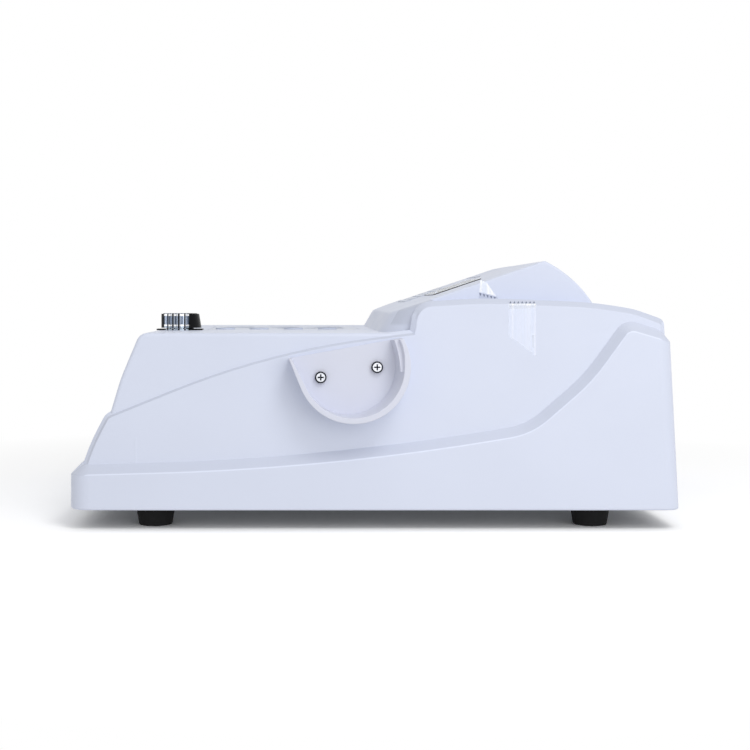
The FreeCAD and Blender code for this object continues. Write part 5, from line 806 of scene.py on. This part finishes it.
def make_films():
    """Two short ends of clear packing film: milky where lifted, with painted shade in their saw
    cuts.
    """
    wall = Plane(INWARD * -145.7 * MM, REARWARD, UPWARD, -INWARD)
    head = Plane(INWARD * -120.3 * MM, REARWARD, UPWARD, -INWARD)
    back_layer, clear_layer, tooth_shadow_layer = (0.06, 0.1), (0.12, 0.17), (0.14, 0.2)
    fold_layer, lip_layer = (0.2, 0.25), (0.3, 0.35)
    film = bmesh.new()
    milky = bmesh.new()
    tooth_shadows = bmesh.new()
    shaded = bmesh.new()

    # On the wall: the strip, its lifted top in two steps, and a narrow fold near its end.
    left, right, top = 91.3, 110.0, 153.6
    strip = [(left, 131.5), (right, 117.8), (right, top), (left, top)]
    lift = [(left, top - 4.0), (right, top - 3.0), (right, top), (left, top)]
    fold = [(107.4, 124.0), (108.6, 123.0), (108.8, 132.0), (107.2, 132.0)]
    lip = [(left, top - 1.3), (right, top - 1.3), (right, top), (left, top)]
    wall.plate(film, strip, clear_layer)
    wall.plate(film, lift, fold_layer)
    wall.plate(film, fold, fold_layer)
    wall.plate(milky, lip, lip_layer)
    # Painted shade in the saw cuts along the top: dark teeth.
    teeth = 7
    pitch = (right - left) / teeth
    half, foot, tip = pitch * 0.3, top + 0.1, top + 1.7
    for i in range(teeth):
        x = left + pitch * (i + 0.5)
        wall.plate(tooth_shadows, [(x - half, foot), (x + half, foot), (x, tip)], tooth_shadow_layer)

    # On the console: a torn corner, its fold below it in painted shade, and painted shade in saw
    # cuts down their seam.
    seam = [(74.8, 161.6), (86.4, 158.6)]
    corner = [*seam, (79.6, 168.6), (75.3, 170.0)]
    fold_shade = [(74.2, 156.8), (88.0, 156.8), *reversed(seam)]
    head.plate(film, corner, clear_layer)
    head.plate(milky, corner, fold_layer)
    head.plate(shaded, fold_shade, back_layer)
    for i in range(5):
        x, y = 75.4 + i * 2.5, 160.9 - i * 0.64
        head.plate(tooth_shadows, [(x - 0.8, y), (x + 0.8, y - 0.4), (x + 0.2, y - 2.2)], tooth_shadow_layer)

    add_piece("film_fold_painted_shade", shaded, film_fold_shade)
    for name, bm, finish in (("film_ends", film, film_clear), ("film_folds", milky, film_milky)):
        add_piece(name, bm, finish).visible_shadow = False
    add_piece("film_tooth_shadows", tooth_shadows, film_tooth_shadow)


make_key_signs()
make_well_numbers()
make_rocker_signs()
make_screen()
make_films()

# Camera: level, square to the near side, placed by the photograph's vanishing point.

CAMERA_PLACE = mm(-51.1, -1092.3, 156.0)
CAMERA_LENS = 66.7
CAMERA_SENSOR = 36.0
CAMERA_SHIFT = (0.1007, -0.1)
CAMERA_NEAR = 0.05

camera_data = bpy.data.cameras.new("camera")
camera_data.sensor_width = CAMERA_SENSOR
camera_data.lens = CAMERA_LENS
camera_data.shift_x, camera_data.shift_y = CAMERA_SHIFT
camera_data.clip_start = CAMERA_NEAR
camera = bpy.data.objects.new("camera", camera_data)
camera.location = CAMERA_PLACE
camera.rotation_euler = (math.pi / 2, 0.0, 0.0)
bpy.context.scene.collection.objects.link(camera)
bpy.context.scene.camera = camera

# Floor, light and white surroundings, in metres

# The soft light of the sky and of the floor.
SKY_LIGHT = 0.58
FLOOR_BOUNCE = 0.72
# The floor takes the object's shadow on a surface this pale, which turns into plain white between
# two distances from the middle.
FLOOR_SEEN = 1.32
FLOOR_FADE = (0.3, 0.6)
FLOOR_RADIUS = 6.0
LAMP_AIM = Vector((0.0, -0.15, 0.1))


def seen_directly(node_tree):
    """1 for camera, glossy and transmission rays, which see the white studio."""
    path = node_tree.nodes.new("ShaderNodeLightPath")
    seen = path.outputs["Is Camera Ray"]
    for ray in ("Is Glossy Ray", "Is Transmission Ray"):
        either = node_tree.nodes.new("ShaderNodeMath")
        either.operation = "MAXIMUM"
        node_tree.links.new(seen, either.inputs[0])
        node_tree.links.new(path.outputs[ray], either.inputs[1])
        seen = either.outputs["Value"]
    return seen


def make_floor():
    """White with the object's shadow where it is seen, and an even pale glow for soft light."""
    bm = bmesh.new()
    bmesh.ops.create_circle(bm, cap_ends=True, radius=FLOOR_RADIUS, segments=96)
    data = bpy.data.meshes.new("floor")
    bm.to_mesh(data)
    bm.free()
    floor = bpy.data.objects.new("floor", data)
    bpy.context.scene.collection.objects.link(floor)
    tree = Tree("floor_white")
    tree.nodes.remove(tree.shader)
    diffuse = tree.nodes.new("ShaderNodeBsdfDiffuse")
    diffuse.inputs["Color"].default_value = (FLOOR_SEEN, FLOOR_SEEN, FLOOR_SEEN, 1.0)
    white = tree.nodes.new("ShaderNodeEmission")
    bounce = tree.nodes.new("ShaderNodeEmission")
    bounce.inputs["Strength"].default_value = FLOOR_BOUNCE
    fade = tree.nodes.new("ShaderNodeMixShader")
    tree.link(tree.step(tree.vector("LENGTH", tree.place), *FLOOR_FADE), fade.inputs["Fac"])
    tree.link(diffuse.outputs["BSDF"], fade.inputs[1])
    tree.link(white.outputs["Emission"], fade.inputs[2])
    blend = tree.nodes.new("ShaderNodeMixShader")
    tree.link(seen_directly(tree.material.node_tree), blend.inputs["Fac"])
    tree.link(bounce.outputs["Emission"], blend.inputs[1])
    tree.link(fade.outputs["Shader"], blend.inputs[2])
    tree.link(blend.outputs["Shader"], tree.nodes["Material Output"].inputs["Surface"])
    data.materials.append(tree.material)


def make_world():
    """White where it is seen, and even soft light."""
    world = bpy.data.worlds.new("studio")
    bpy.context.scene.world = world
    world.use_nodes = True
    node_tree = world.node_tree
    background = node_tree.nodes["Background"]
    background.inputs["Color"].default_value = (1.0, 1.0, 1.0, 1.0)
    level = node_tree.nodes.new("ShaderNodeMapRange")
    level.inputs["To Min"].default_value = SKY_LIGHT
    level.inputs["To Max"].default_value = 1.0
    node_tree.links.new(seen_directly(node_tree), level.inputs["Value"])
    node_tree.links.new(level.outputs["Result"], background.inputs["Strength"])


def make_softbox(name, place, side, power):
    """A square lamp, aimed at the object."""
    lamp = bpy.data.lights.new(name, "AREA")
    lamp.shape = "SQUARE"
    lamp.size = side
    lamp.energy = power
    item = bpy.data.objects.new(name, lamp)
    item.location = place
    item.rotation_euler = (LAMP_AIM - Vector(place)).to_track_quat("-Z", "Y").to_euler()
    bpy.context.scene.collection.objects.link(item)


make_floor()
make_world()
make_softbox("key", (0.36, -0.9, 1.1), side=0.5, power=4.6)
make_softbox("fill", (0.52, -1.38, 0.42), side=0.9, power=4.7)

bpy.context.scene.view_settings.view_transform = "Standard"
